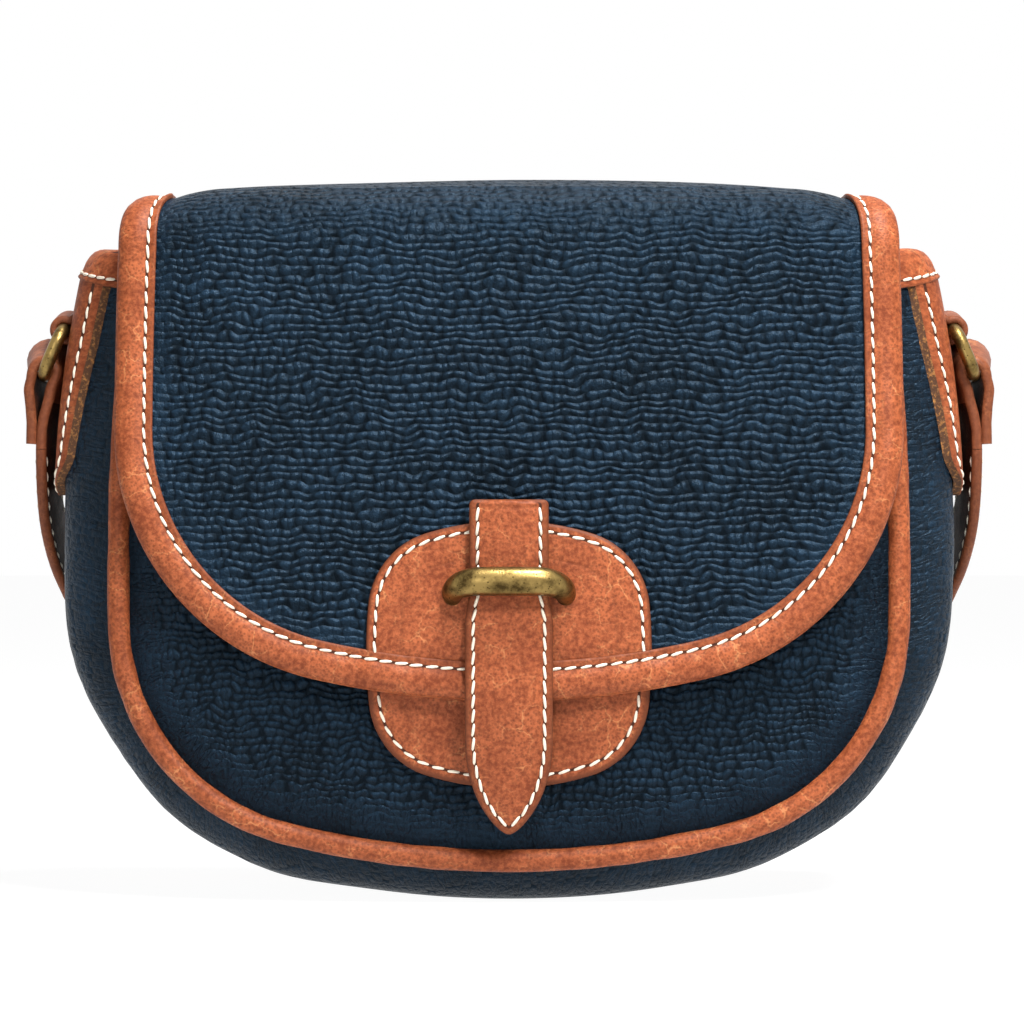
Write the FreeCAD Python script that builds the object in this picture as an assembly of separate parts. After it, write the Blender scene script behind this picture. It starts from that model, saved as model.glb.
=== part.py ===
import FreeCAD, Part
import math
import os

V = FreeCAD.Vector

# All sizes in mm. +Z is up, the front faces -Y, the origin is under the middle of the base.

# Seam planes, front and back, that lean in toward the top
SEAM_HALF_DEPTH = 36.0
SEAM_LEAN_DEGREES = 3.2

# Seam outline, in its own plane
SEAM_HALF_WIDTH = 102.8
SEAM_WIDEST_Z = 89.4
SEAM_TOP_NARROWING = 4.8
SEAM_SIDE_RISE = 80.6
SEAM_TOP_HALF_WIDTH = SEAM_HALF_WIDTH - SEAM_TOP_NARROWING
SEAM_TOP_Z = SEAM_WIDEST_Z + SEAM_SIDE_RISE
SEAM_BOTTOM_Z = 11.6
SEAM_BOTTOM_RADIUS = 243.8
SEAM_CORNER_RADIUS = 57.9

# Gusset outline at its fullest, half way between the seams
GUSSET_SIDE_SWELL = 16.2
GUSSET_BASE_SWELL = 11.5
GUSSET_WIDEST_RISE = 12.3
GUSSET_TOP_NARROWING = 8.0
GUSSET_TOP_RISE = 2.0
GUSSET_BOTTOM_EASE = 37.5
GUSSET_CORNER_EASE = 22.1
GUSSET_HALF_WIDTH = SEAM_HALF_WIDTH + GUSSET_SIDE_SWELL
GUSSET_WIDEST_Z = SEAM_WIDEST_Z + GUSSET_WIDEST_RISE
GUSSET_TOP_HALF_WIDTH = GUSSET_HALF_WIDTH - GUSSET_TOP_NARROWING
GUSSET_TOP_Z = SEAM_TOP_Z + GUSSET_TOP_RISE
GUSSET_BOTTOM_Z = SEAM_BOTTOM_Z - GUSSET_BASE_SWELL
GUSSET_BOTTOM_RADIUS = SEAM_BOTTOM_RADIUS + GUSSET_BOTTOM_EASE
GUSSET_CORNER_RADIUS = SEAM_CORNER_RADIUS + GUSSET_CORNER_EASE
GUSSET_LEATHER = 2.0
GUSSET_END_Z = 172.5
# Distance in from the seam plane, and how much of the bulge is reached there
GUSSET_LAYERS = [(3.4, 0.10), (7.0, 0.55), (12.0, 0.88), (18.0, 1.0)]

# Piping and panels
PIPING_RADIUS = 3.0
PIPING_GAP = 0.4
PANEL_LEATHER = 2.0
PANEL_END_Z = 168.0
FRONT_PILLOW = [(11.0, 4.8), (24.0, 8.0), (42.0, 9.6)]
BACK_PILLOW = [(11.0, 4.0), (24.0, 6.0), (40.0, 7.0), (55.0, 7.6)]
PANEL_RIM_INSET = PIPING_RADIUS + PIPING_GAP
FRONT_PILLOW_HEIGHT = FRONT_PILLOW[-1][1]
BACK_PILLOW_HEIGHT = BACK_PILLOW[-1][1]
# Outlines run on past every top edge, and are then cut level
OUTLINE_END_Z = 184.0

# Bindings: leather folded over an edge
BINDING_LEATHER = 1.2
BINDING_GAP = 0.05
GUSSET_BINDING_LOW_Z = 163.5
GUSSET_BINDING_TOP_Z = GUSSET_END_Z + 1.6
MOUTH_BINDING_LOW_Z = 160.5
MOUTH_BINDING_TOP_Z = PANEL_END_Z + 1.3

# Flap, with its leather a shallow arch across x
FLAP_LEATHER = 2.0
FLAP_STAND_OFF = 4.0
FLAP_ARCH_HEIGHT = 2.8
FLAP_ARCH_EDGE = 0.4
FLAP_BAND_MARGIN = 8.7
FLAP_TOP_Z = 191.0
FLAP_FRONT_BEND = 19.0
FLAP_BACK_BEND = 14.0
FLAP_REAR_LOW_Z = 150.0
FLAP_REAR_STAND_OFF = 0.8
FLAP_SIDE_OVERHANG = 0.5
FLAP_HALF_WIDTH = SEAM_HALF_WIDTH + FLAP_SIDE_OVERHANG
FLAP_WIDEST_Z = 133.1
FLAP_TOP_NARROWING = 4.9
FLAP_SIDE_RISE = 52.7
FLAP_TOP_HALF_WIDTH = FLAP_HALF_WIDTH - FLAP_TOP_NARROWING
FLAP_TOP_WIDTH_Z = FLAP_WIDEST_Z + FLAP_SIDE_RISE
FLAP_ARCH_HALF_WIDTH = FLAP_TOP_HALF_WIDTH - FLAP_ARCH_EDGE
FLAP_BOTTOM_Z = 53.9
FLAP_BOTTOM_RADIUS = 228.0
FLAP_CORNER_RADIUS = 67.5
FLAP_BINDING_WIDTH = 10.2
FLAP_EDGE_INSET = 1.5
FLAP_JOIN_GAP = 0.3

# Patch behind the closing strap: the upper half is on the flap, the lower half on the front panel
PATCH_LEATHER = 1.8
PATCH_GAP = 0.05
PATCH_HALF_WIDTH = 37.1
PATCH_SIDE_NARROWING = 1.1
PATCH_SIDE_RISE = 18.0
PATCH_MIDDLE_Z = 66.0
PATCH_HALF_HEIGHT = 33.7
PATCH_BOTTOM_RADIUS = 75.0
PATCH_CORNER_RADIUS = 21.0
BODY_PATCH_TOP_Z = PATCH_MIDDLE_Z
PATCH_BINDING_GAP = 0.3

# Closing strap and its free end
STRAP_LEATHER = 3.0
STRAP_TOP_Z = 105.4
STRAP_TOP_HALF_WIDTH = 10.3
STRAP_LOW_HALF_WIDTH = 11.4
STRAP_NARROW_Z = 80.5
STRAP_FULL_Z = 74.0
STRAP_SHOULDER_Z = 44.0
STRAP_TIP_Z = 20.0
STRAP_TIP_HALF_WIDTH = 1.4
STRAP_POINT_BULGE = 1.7
STRAP_TOP_CORNER = 2.0
TAB_TOP_Z = 78.4
TAB_JOIN_GAP = 0.3
TAB_PATCH_GAP = 0.3
TAB_BEND_Z = 58.0
TAB_BEND_RADIUS = 40.0
TAB_BEND_DEGREES = 14.0
TAB_END_LENGTH = 45.0

# Keeper over the closing strap
STAPLE_Z = 84.2
STAPLE_WIRE_RADIUS = 3.2
STAPLE_LEG_X = 14.1
STAPLE_CORNER_RADIUS = 4.2
STAPLE_STRAP_GAP = 0.4
STAPLE_HOLE_GAP = 0.1
STAPLE_PLATE_HALF_WIDTH = 20.0
STAPLE_PLATE_HALF_HEIGHT = 5.5
STAPLE_PLATE_THICKNESS = 0.8
STAPLE_PLATE_GAP = 0.2

# Snap between the tab and the front panel
SNAP_Z = 44.0
SNAP_STUD_RADIUS = 6.0
SNAP_STUD_HEIGHT = 1.0
SNAP_SOCKET_RADIUS = 6.8
SNAP_SOCKET_REACH = 6.5
SNAP_GAP = 0.3
SNAP_SEAT_GAP = 0.05
SNAP_PLATE_RADIUS = 8.0
SNAP_PLATE_THICKNESS = 0.9

# Anchors on the gusset
ANCHOR_LEATHER = 2.3
ANCHOR_GAP = 0.1
ANCHOR_TOP_Z = 163.3
ANCHOR_BOTTOM_Z = 108.0
ANCHOR_TOP_HALF_WIDTH = 17.0
ANCHOR_BOTTOM_HALF_WIDTH = 11.0
ANCHOR_SLOT_SIDE_GAP = 0.5
ANCHOR_SLOT_END_GAP = 0.6

# Rings
RING_WIRE_RADIUS = 2.3
RING_STAND_OFF = 0.7
RING_BAR_X = GUSSET_HALF_WIDTH + RING_STAND_OFF
RING_BAR_Z = 152.0
RING_LENGTH = 13.1
RING_FALL_DEGREES = 60.0
RING_HALF_WIDTH = 12.5
RING_CORNER_RADIUS = 2.8
LOOP_HALF_WIDTH = 9.0
LOOP_BAR_GAP = 0.25
LOOP_LEATHER = 1.9

# Shoulder strap
SHOULDER_HALF_WIDTH = 9.5
SHOULDER_LEATHER = 2.8
SHOULDER_BAR_GAP = 0.25
SHOULDER_END_Z = 121.5
SHOULDER_END_REACH = 5.9
SHOULDER_END_X = RING_BAR_X + SHOULDER_END_REACH
SHOULDER_TAIL_GAP = 0.3
SHOULDER_JOIN_GAP = 0.5
SHOULDER_FLOOR_GAP = 0.2
SHOULDER_PANEL_GAP = 4.9
SHOULDER_PILE_Y = SEAM_HALF_DEPTH + BACK_PILLOW_HEIGHT + SHOULDER_PANEL_GAP + SHOULDER_HALF_WIDTH
SHOULDER_PILE_STEP = 3.6
SHOULDER_PILE_ROWS = 6
SHOULDER_PILE_RUN = 33.0
SHOULDER_PILE_TURN = 48.0
SHOULDER_PILE_REACH = 55.5
# Chosen points of the strap on the right: below its end, down to the pile's start, and up from the pile's end
SHOULDER_DROP = [(125.7, 1.0, 112.0), (124.8, 9.0, 99.0), (121.6, 27.0, 84.0), (116.5, 37.0, 68.0),
                 (104.0, 47.0, 50.0)]
SHOULDER_LANDING = [(92.5, 53.0, 28.0), (80.5, 57.0, 9.0)]
SHOULDER_LIFT = [(70.5, 57.5, 41.8), (88.0, 53.7, 42.8)]

LEAN = math.radians(SEAM_LEAN_DEGREES)
LEAN_SIN = math.sin(LEAN)
LEAN_COS = math.cos(LEAN)
LEAN_TAN = math.tan(LEAN)
FRONT = -1
BACK = 1
FAR = 300.0


# Outlines

def lower_crossing(first, first_radius, second, second_radius):
    """The lower of the two points where two circles in x, z cross."""
    across = second[0] - first[0]
    up = second[1] - first[1]
    apart = math.hypot(across, up)
    along = (first_radius ** 2 - second_radius ** 2 + apart ** 2) / (2.0 * apart)
    aside = math.sqrt(first_radius ** 2 - along ** 2)
    middle = (first[0] + along * across / apart, first[1] + along * up / apart)
    one = (middle[0] - aside * up / apart, middle[1] + aside * across / apart)
    two = (middle[0] + aside * up / apart, middle[1] - aside * across / apart)
    return min(one, two, key=lambda point: point[1])


def on_circle(centre, radius, toward):
    """The point of a circle in x, z that lies in the direction of another point."""
    across = toward[0] - centre[0]
    up = toward[1] - centre[1]
    scale = radius / math.hypot(across, up)
    return (centre[0] + across * scale, centre[1] + up * scale)


def arc_middle(centre, radius, start, end):
    """The middle of the shorter arc between two points of a circle."""
    return on_circle(centre, radius, ((start[0] + end[0]) / 2.0, (start[1] + end[1]) / 2.0))


class SaddleOutline:
    """A saddle shape in x, z: a shallow bottom arc, then a corner arc and a tall side arc on each side."""

    def __init__(self, half_width, widest_z, top_half_width, top_z, bottom_z, bottom_radius, corner_radius):
        inset = half_width - top_half_width
        self.side_radius = ((top_z - widest_z) ** 2 + inset ** 2) / (2.0 * inset)
        self.bottom_radius = bottom_radius
        self.corner_radius = corner_radius
        self.bottom_centre = (0.0, bottom_z + bottom_radius)
        self.side_centre = (half_width - self.side_radius, widest_z)
        self.corner_centre = lower_crossing(
            self.bottom_centre, bottom_radius - corner_radius,
            self.side_centre, self.side_radius - corner_radius)

    def right_side(self, grow, end_z):
        """Points up the right side: lowest, join, corner middle, join, side middle, end."""
        bottom_radius = self.bottom_radius + grow
        corner_radius = self.corner_radius + grow
        side_radius = self.side_radius + grow
        lowest = (0.0, self.bottom_centre[1] - bottom_radius)
        low_join = on_circle(self.bottom_centre, bottom_radius, self.corner_centre)
        high_join = on_circle(self.side_centre, side_radius, self.corner_centre)
        rise = end_z - self.side_centre[1]
        end = (self.side_centre[0] + math.sqrt(side_radius ** 2 - rise ** 2), end_z)
        corner = arc_middle(self.corner_centre, corner_radius, low_join, high_join)
        side = arc_middle(self.side_centre, side_radius, high_join, end)
        return lowest, low_join, corner, high_join, side, end

    def wire(self, grow, end_z, place, closed=True):
        """The outline grown outward, put in space by place(x, z)."""
        lowest, low_join, corner, high_join, side, end = self.right_side(grow, end_z)

        def right(point):
            return place(point[0], point[1])

        def left(point):
            return place(-point[0], point[1])

        edges = [
            Part.Arc(left(end), left(side), left(high_join)).toShape(),
            Part.Arc(left(high_join), left(corner), left(low_join)).toShape(),
            Part.Arc(left(low_join), right(lowest), right(low_join)).toShape(),
            Part.Arc(right(low_join), right(corner), right(high_join)).toShape(),
            Part.Arc(right(high_join), right(side), right(end)).toShape(),
        ]
        if closed:
            edges.append(Part.LineSegment(right(end), left(end)).toShape())
        return Part.Wire(edges)


def seam_place(side, out):
    """Puts x, z of a leaning plane in space; the plane is out mm outward of the front or back seam plane."""
    def place(x, z):
        up = z - SEAM_BOTTOM_Z
        y = SEAM_HALF_DEPTH - up * LEAN_SIN + out * LEAN_COS
        return V(x, side * y, SEAM_BOTTOM_Z + up * LEAN_COS + out * LEAN_SIN)
    return place


def level_place(y):
    """Puts x, z in an upright plane."""
    def place(x, z):
        return V(x, y, z)
    return place


def out_direction(side):
    """The outward normal of a seam plane."""
    return V(0.0, side * LEAN_COS, LEAN_SIN)


def moved(shape, shift):
    """A moved copy."""
    copy = shape.copy()
    copy.translate(shift)
    return copy


def mirrored_x(shape):
    """A copy mirrored left to right."""
    return shape.mirror(V(0, 0, 0), V(1, 0, 0))


def box_between(low, high):
    """A box between two corners."""
    return Part.makeBox(high[0] - low[0], high[1] - low[1], high[2] - low[2], V(*low))


def level_slab(low_z, high_z):
    """Everything between two heights."""
    return box_between((-FAR, -FAR, low_z), (FAR, FAR, high_z))


def half_space_x(side):
    """Everything on the left (-1) or right (1)."""
    if side < 0:
        return box_between((-FAR, -FAR, -FAR), (0.0, FAR, FAR))
    return box_between((0.0, -FAR, -FAR), (FAR, FAR, FAR))


def front_prism(wire):
    """Extrudes a wire at y = -FAR back to the middle plane."""
    return Part.Face(wire).extrude(V(0, FAR, 0))


SEAM = SaddleOutline(SEAM_HALF_WIDTH, SEAM_WIDEST_Z, SEAM_TOP_HALF_WIDTH, SEAM_TOP_Z,
                     SEAM_BOTTOM_Z, SEAM_BOTTOM_RADIUS, SEAM_CORNER_RADIUS)
FLAP = SaddleOutline(FLAP_HALF_WIDTH, FLAP_WIDEST_Z, FLAP_TOP_HALF_WIDTH, FLAP_TOP_WIDTH_Z,
                     FLAP_BOTTOM_Z, FLAP_BOTTOM_RADIUS, FLAP_CORNER_RADIUS)
PATCH = SaddleOutline(PATCH_HALF_WIDTH, PATCH_MIDDLE_Z, PATCH_HALF_WIDTH - PATCH_SIDE_NARROWING,
                      PATCH_MIDDLE_Z + PATCH_SIDE_RISE, PATCH_MIDDLE_Z - PATCH_HALF_HEIGHT,
                      PATCH_BOTTOM_RADIUS, PATCH_CORNER_RADIUS)


def gusset_outline(bulge):
    """The gusset's outline between the seam (0) and its fullest (1)."""
    def between(low, high):
        return low + bulge * (high - low)
    return SaddleOutline(
        between(SEAM_HALF_WIDTH, GUSSET_HALF_WIDTH), between(SEAM_WIDEST_Z, GUSSET_WIDEST_Z),
        between(SEAM_TOP_HALF_WIDTH, GUSSET_TOP_HALF_WIDTH), between(SEAM_TOP_Z, GUSSET_TOP_Z),
        between(SEAM_BOTTOM_Z, GUSSET_BOTTOM_Z), between(SEAM_BOTTOM_RADIUS, GUSSET_BOTTOM_RADIUS),
        between(SEAM_CORNER_RADIUS, GUSSET_CORNER_RADIUS))


# Body

def gusset_core(grow, rim_reach):
    """The space inside the gusset's surface moved outward by grow, running rim_reach past each rim."""
    wires = []
    layers = list(GUSSET_LAYERS)
    if rim_reach > 0.0:
        layers.insert(0, (layers[0][0] - rim_reach, layers[0][1]))
    for inward, bulge in layers:
        wires.append(gusset_outline(bulge).wire(grow, OUTLINE_END_Z, seam_place(FRONT, -inward)))
    for inward, bulge in reversed(layers):
        wires.append(gusset_outline(bulge).wire(grow, OUTLINE_END_Z, seam_place(BACK, -inward)))
    return Part.makeLoft(wires, True, True)


def gusset_shell(out_grow, in_grow, low_z, high_z):
    """A strip of the gusset between two surfaces and two heights."""
    shell = gusset_core(out_grow, 0.0).cut(gusset_core(in_grow, 2.0))
    return shell.common(level_slab(low_z, high_z))


def panel_pillow(side, pillow, shift):
    """The filled pillow of a panel, moved outward by shift."""
    rim_out = PANEL_LEATHER / 2.0
    layers = [(PANEL_RIM_INSET, -rim_out), (PANEL_RIM_INSET, rim_out)] + pillow
    wires = []
    for inset, out in layers:
        wires.append(SEAM.wire(-inset, OUTLINE_END_Z, seam_place(side, out + shift)))
    return Part.makeLoft(wires, True, True)


def panel_sheet(side, pillow, out_shift, in_shift, low_z, high_z):
    """The sheet between a panel's pillow moved out and the same pillow moved in."""
    sheet = panel_pillow(side, pillow, out_shift).cut(panel_pillow(side, pillow, in_shift))
    return sheet.common(level_slab(low_z, high_z))


def swept_wire(path, start, direction, radius):
    """A round section swept along a path."""
    circle = Part.Wire(Part.makeCircle(radius, start, direction))
    return Part.Wire(path).makePipeShell([circle], True, False)


def piping(side):
    """The bead along one seam."""
    path = SEAM.wire(0.0, PANEL_END_Z, seam_place(side, 0.0), closed=False)
    first = path.OrderedEdges[0]
    start = first.valueAt(first.FirstParameter)
    direction = first.tangentAt(first.FirstParameter)
    return swept_wire(path, start, direction, PIPING_RADIUS)


# Flap

FLAP_OUT = FRONT_PILLOW_HEIGHT + FLAP_STAND_OFF + FLAP_LEATHER / 2.0
FLAP_REAR_OUT = BACK_PILLOW_HEIGHT + FLAP_REAR_STAND_OFF + FLAP_LEATHER / 2.0
BEND_DEGREES = 90.0 - SEAM_LEAN_DEGREES
ARCH_RADIUS = (FLAP_ARCH_HALF_WIDTH ** 2 + FLAP_ARCH_HEIGHT ** 2) / (2.0 * FLAP_ARCH_HEIGHT)


def leg_y(out, z):
    """Distance from the middle plane of a leaning leg, out mm from its seam plane, at a height."""
    return SEAM_HALF_DEPTH + out / LEAN_COS - LEAN_TAN * (z - SEAM_BOTTOM_Z)


FRONT_BEND_CENTRE = V(0, -leg_y(FLAP_OUT - FLAP_FRONT_BEND, FLAP_TOP_Z - FLAP_FRONT_BEND),
                      FLAP_TOP_Z - FLAP_FRONT_BEND)
BACK_BEND_CENTRE = V(0, leg_y(FLAP_REAR_OUT - FLAP_BACK_BEND, FLAP_TOP_Z - FLAP_BACK_BEND),
                     FLAP_TOP_Z - FLAP_BACK_BEND)
FLAP_AXIS = V(-1, 0, 0)


def turned(direction, degrees):
    """A direction turned about the flap's bend axis."""
    return FreeCAD.Rotation(FLAP_AXIS, degrees).multVec(direction)


def band_face(origin, normal, inner, outer, half_width):
    """An arched strip of leather in section, between two distances along normal from the leather's middle."""
    def row(offset):
        radius = ARCH_RADIUS + offset
        drop = radius - math.sqrt(radius ** 2 - half_width ** 2)
        return [origin + normal * (offset - drop) + V(-half_width, 0, 0),
                origin + normal * offset,
                origin + normal * (offset - drop) + V(half_width, 0, 0)]
    low = row(inner)
    high = row(outer)
    edges = [Part.Arc(*low).toShape(), Part.LineSegment(low[2], high[2]).toShape(),
             Part.Arc(high[2], high[1], high[0]).toShape(), Part.LineSegment(high[0], low[0]).toShape()]
    return Part.Face(Part.Wire(edges))


def bend_band(centre, radius, start_normal, from_degrees, to_degrees, inner, outer, half_width):
    """Part of a bend of the band, as a solid of revolution."""
    normal = turned(start_normal, from_degrees)
    face = band_face(centre + normal * radius, normal, inner, outer, half_width)
    return face.revolve(centre, FLAP_AXIS, to_degrees - from_degrees)


FRONT_NORMAL = out_direction(FRONT)
BACK_NORMAL = out_direction(BACK)
UP = V(0, 0, 1)
FRONT_MID = BEND_DEGREES / 2.0
BACK_MID = BEND_DEGREES / 2.0
FRONT_GAP_DEGREES = math.degrees(FLAP_JOIN_GAP / FLAP_FRONT_BEND) / 2.0
BACK_GAP_DEGREES = math.degrees(FLAP_JOIN_GAP / FLAP_BACK_BEND) / 2.0


def front_band(inner, outer):
    """The band from below the flap's lower edge up to the middle of the front bend."""
    half_width = FLAP_HALF_WIDTH + FLAP_BAND_MARGIN
    start = FRONT_BEND_CENTRE + FRONT_NORMAL * FLAP_FRONT_BEND
    down = V(0, -LEAN_SIN, -LEAN_COS)
    length = (start.z - FLAP_BOTTOM_Z) / LEAN_COS + FLAP_BAND_MARGIN
    leg = band_face(start, FRONT_NORMAL, inner, outer, half_width).extrude(down * length)
    bend = bend_band(FRONT_BEND_CENTRE, FLAP_FRONT_BEND, FRONT_NORMAL, 0.0,
                     FRONT_MID - FRONT_GAP_DEGREES, inner, outer, half_width)
    return leg.fuse(bend)


def top_band(inner, outer, half_width):
    """The band from the middle of the front bend to the middle of the back bend."""
    bend = bend_band(FRONT_BEND_CENTRE, FLAP_FRONT_BEND, FRONT_NORMAL, FRONT_MID + FRONT_GAP_DEGREES,
                     BEND_DEGREES, inner, outer, half_width)
    start = FRONT_BEND_CENTRE + UP * FLAP_FRONT_BEND
    end = BACK_BEND_CENTRE + UP * FLAP_BACK_BEND
    flat = band_face(start, UP, inner, outer, half_width).extrude(end - start)
    far_bend = bend_band(BACK_BEND_CENTRE, FLAP_BACK_BEND, UP, 0.0,
                         BACK_MID - BACK_GAP_DEGREES, inner, outer, half_width)
    return bend.fuse([flat, far_bend])


def rear_band(inner, outer, half_width):
    """The band from the middle of the back bend down the back."""
    bend = bend_band(BACK_BEND_CENTRE, FLAP_BACK_BEND, UP, BACK_MID + BACK_GAP_DEGREES,
                     BEND_DEGREES, inner, outer, half_width)
    start = BACK_BEND_CENTRE + BACK_NORMAL * FLAP_BACK_BEND
    down = V(0, LEAN_SIN, -LEAN_COS)
    length = (start.z - FLAP_REAR_LOW_Z) / LEAN_COS
    leg = band_face(start, BACK_NORMAL, inner, outer, half_width).extrude(down * length)
    return bend.fuse(leg)


HALF_FLAP = FLAP_LEATHER / 2.0
BINDING_OUT = HALF_FLAP + BINDING_GAP + BINDING_LEATHER
PANEL_CLEAR = HALF_FLAP + BINDING_GAP


def flap_prism(grow):
    """The flap's front outline, extruded front to back."""
    return front_prism(FLAP.wire(grow, FLAP_TOP_Z + 4.0, level_place(-FAR)))


def side_strips(band, thin_band, x_low, x_high, side):
    """The edge binding of a straight-sided length of flap, on one side."""
    if side < 0:
        box = box_between((-x_high, -FAR, -FAR), (-x_low, FAR, FAR))
    else:
        box = box_between((x_low, -FAR, -FAR), (x_high, FAR, FAR))
    return band.common(box).cut(thin_band)


# Closing strap

STRAP_IN = HALF_FLAP + PATCH_GAP + PATCH_LEATHER + PATCH_GAP
STRAP_OUT = STRAP_IN + STRAP_LEATHER


def strap_outline():
    """Outline of the closing strap from the front: square top, straight sides, pointed end."""
    def point_side(sign):
        bulge_z = (STRAP_SHOULDER_Z + STRAP_TIP_Z) / 2.0
        bulge_x = (STRAP_LOW_HALF_WIDTH + STRAP_TIP_HALF_WIDTH) / 2.0 + STRAP_POINT_BULGE
        return V(sign * bulge_x, -FAR, bulge_z)

    def at(x, z):
        return V(x, -FAR, z)

    low = STRAP_LOW_HALF_WIDTH
    top = STRAP_TOP_HALF_WIDTH
    corner = STRAP_TOP_CORNER
    tip = STRAP_TIP_HALF_WIDTH
    soft = corner * (1.0 - math.sqrt(0.5))
    edges = [
        Part.LineSegment(at(-top + corner, STRAP_TOP_Z), at(top - corner, STRAP_TOP_Z)).toShape(),
        Part.Arc(at(top - corner, STRAP_TOP_Z), at(top - soft, STRAP_TOP_Z - soft),
                 at(top, STRAP_TOP_Z - corner)).toShape(),
        Part.LineSegment(at(top, STRAP_TOP_Z - corner), at(top, STRAP_NARROW_Z)).toShape(),
        Part.LineSegment(at(top, STRAP_NARROW_Z), at(low, STRAP_FULL_Z)).toShape(),
        Part.LineSegment(at(low, STRAP_FULL_Z), at(low, STRAP_SHOULDER_Z)).toShape(),
        Part.Arc(at(low, STRAP_SHOULDER_Z), point_side(1), at(tip, STRAP_TIP_Z)).toShape(),
        Part.Arc(at(tip, STRAP_TIP_Z), at(0.0, STRAP_TIP_Z - 0.5 * tip), at(-tip, STRAP_TIP_Z)).toShape(),
        Part.Arc(at(-tip, STRAP_TIP_Z), point_side(-1), at(-low, STRAP_SHOULDER_Z)).toShape(),
        Part.LineSegment(at(-low, STRAP_SHOULDER_Z), at(-low, STRAP_FULL_Z)).toShape(),
        Part.LineSegment(at(-low, STRAP_FULL_Z), at(-top, STRAP_NARROW_Z)).toShape(),
        Part.LineSegment(at(-top, STRAP_NARROW_Z), at(-top, STRAP_TOP_Z - corner)).toShape(),
        Part.Arc(at(-top, STRAP_TOP_Z - corner), at(-top + soft, STRAP_TOP_Z - soft),
                 at(-top + corner, STRAP_TOP_Z)).toShape(),
    ]
    return Part.Wire(edges)


def front_point(out, z):
    """A point on the middle plane, out mm from the front seam plane."""
    return seam_place(FRONT, out)(0.0, z)


TAB_INNER_OUT = FLAP_OUT + STRAP_IN + TAB_PATCH_GAP
TAB_LEATHER = STRAP_LEATHER - TAB_PATCH_GAP
TAB_DOWN = V(0, -LEAN_SIN, -LEAN_COS)
TAB_HALF_BAND = STRAP_LOW_HALF_WIDTH + 2.0
TAB_TURN = FreeCAD.Rotation(V(1, 0, 0), TAB_BEND_DEGREES)
TAB_END_DOWN = TAB_TURN.multVec(TAB_DOWN)
TAB_END_NORMAL = TAB_TURN.multVec(FRONT_NORMAL)
TAB_BEND_START = front_point(TAB_INNER_OUT, TAB_BEND_Z)
TAB_BEND_CENTRE = TAB_BEND_START - FRONT_NORMAL * TAB_BEND_RADIUS
TAB_BEND_END = TAB_BEND_CENTRE + TAB_END_NORMAL * TAB_BEND_RADIUS


def strap_face(origin, normal, thickness):
    """Flat strap section across x, from its inner face outward."""
    side = V(TAB_HALF_BAND, 0, 0)
    corners = [origin - side, origin + side, origin + side + normal * thickness,
               origin - side + normal * thickness, origin - side]
    return Part.Face(Part.makePolygon(corners))


def closing_tab():
    """The free end of the closing strap: straight, then bent in toward the body."""
    start = front_point(TAB_INNER_OUT, TAB_TOP_Z)
    straight = strap_face(start, FRONT_NORMAL, TAB_LEATHER).extrude(TAB_BEND_START - start)
    bend_face = strap_face(TAB_BEND_START, FRONT_NORMAL, TAB_LEATHER)
    bend = bend_face.revolve(TAB_BEND_CENTRE, V(1, 0, 0), TAB_BEND_DEGREES)
    end_face = strap_face(TAB_BEND_END, TAB_END_NORMAL, TAB_LEATHER)
    end = end_face.extrude(TAB_END_DOWN * TAB_END_LENGTH)
    whole = straight.fuse([bend, end]).removeSplitter()
    return whole.common(front_prism(strap_outline()))


def snap_centre():
    """Where the snap's axis meets the tab's inner face."""
    fall = (TAB_BEND_END.z - SNAP_Z) / -TAB_END_DOWN.z
    return TAB_BEND_END + TAB_END_DOWN * fall


# Keeper

STAPLE_BAR_OUT = FLAP_OUT + STRAP_OUT + STAPLE_STRAP_GAP + STAPLE_WIRE_RADIUS
FLAP_INNER_OUT = FLAP_OUT - HALF_FLAP
STAPLE_FOOT_OUT = FLAP_INNER_OUT - STAPLE_PLATE_GAP


def staple_point(x, out):
    """A point in the keeper's plane."""
    return seam_place(FRONT, out)(x, STAPLE_Z)


def staple():
    """A round wire bent into a staple, its legs through the patch and the flap."""
    leg = STAPLE_LEG_X
    bar = STAPLE_BAR_OUT
    corner = STAPLE_CORNER_RADIUS
    soft = corner * (1.0 - math.sqrt(0.5))
    foot = STAPLE_FOOT_OUT
    path = [
        Part.LineSegment(staple_point(-leg, foot), staple_point(-leg, bar - corner)).toShape(),
        Part.Arc(staple_point(-leg, bar - corner), staple_point(-leg + soft, bar - soft),
                 staple_point(-leg + corner, bar)).toShape(),
        Part.LineSegment(staple_point(-leg + corner, bar), staple_point(leg - corner, bar)).toShape(),
        Part.Arc(staple_point(leg - corner, bar), staple_point(leg - soft, bar - soft),
                 staple_point(leg, bar - corner)).toShape(),
        Part.LineSegment(staple_point(leg, bar - corner), staple_point(leg, foot)).toShape(),
    ]
    return swept_wire(path, staple_point(-leg, foot), FRONT_NORMAL, STAPLE_WIRE_RADIUS)


def staple_holes():
    """The two holes for the keeper's legs."""
    radius = STAPLE_WIRE_RADIUS + STAPLE_HOLE_GAP
    low = FLAP_INNER_OUT - 3.0
    length = FLAP_LEATHER + PATCH_LEATHER + 6.0
    left = Part.makeCylinder(radius, length, staple_point(-STAPLE_LEG_X, low), FRONT_NORMAL)
    right = Part.makeCylinder(radius, length, staple_point(STAPLE_LEG_X, low), FRONT_NORMAL)
    return left.fuse(right)


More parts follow.
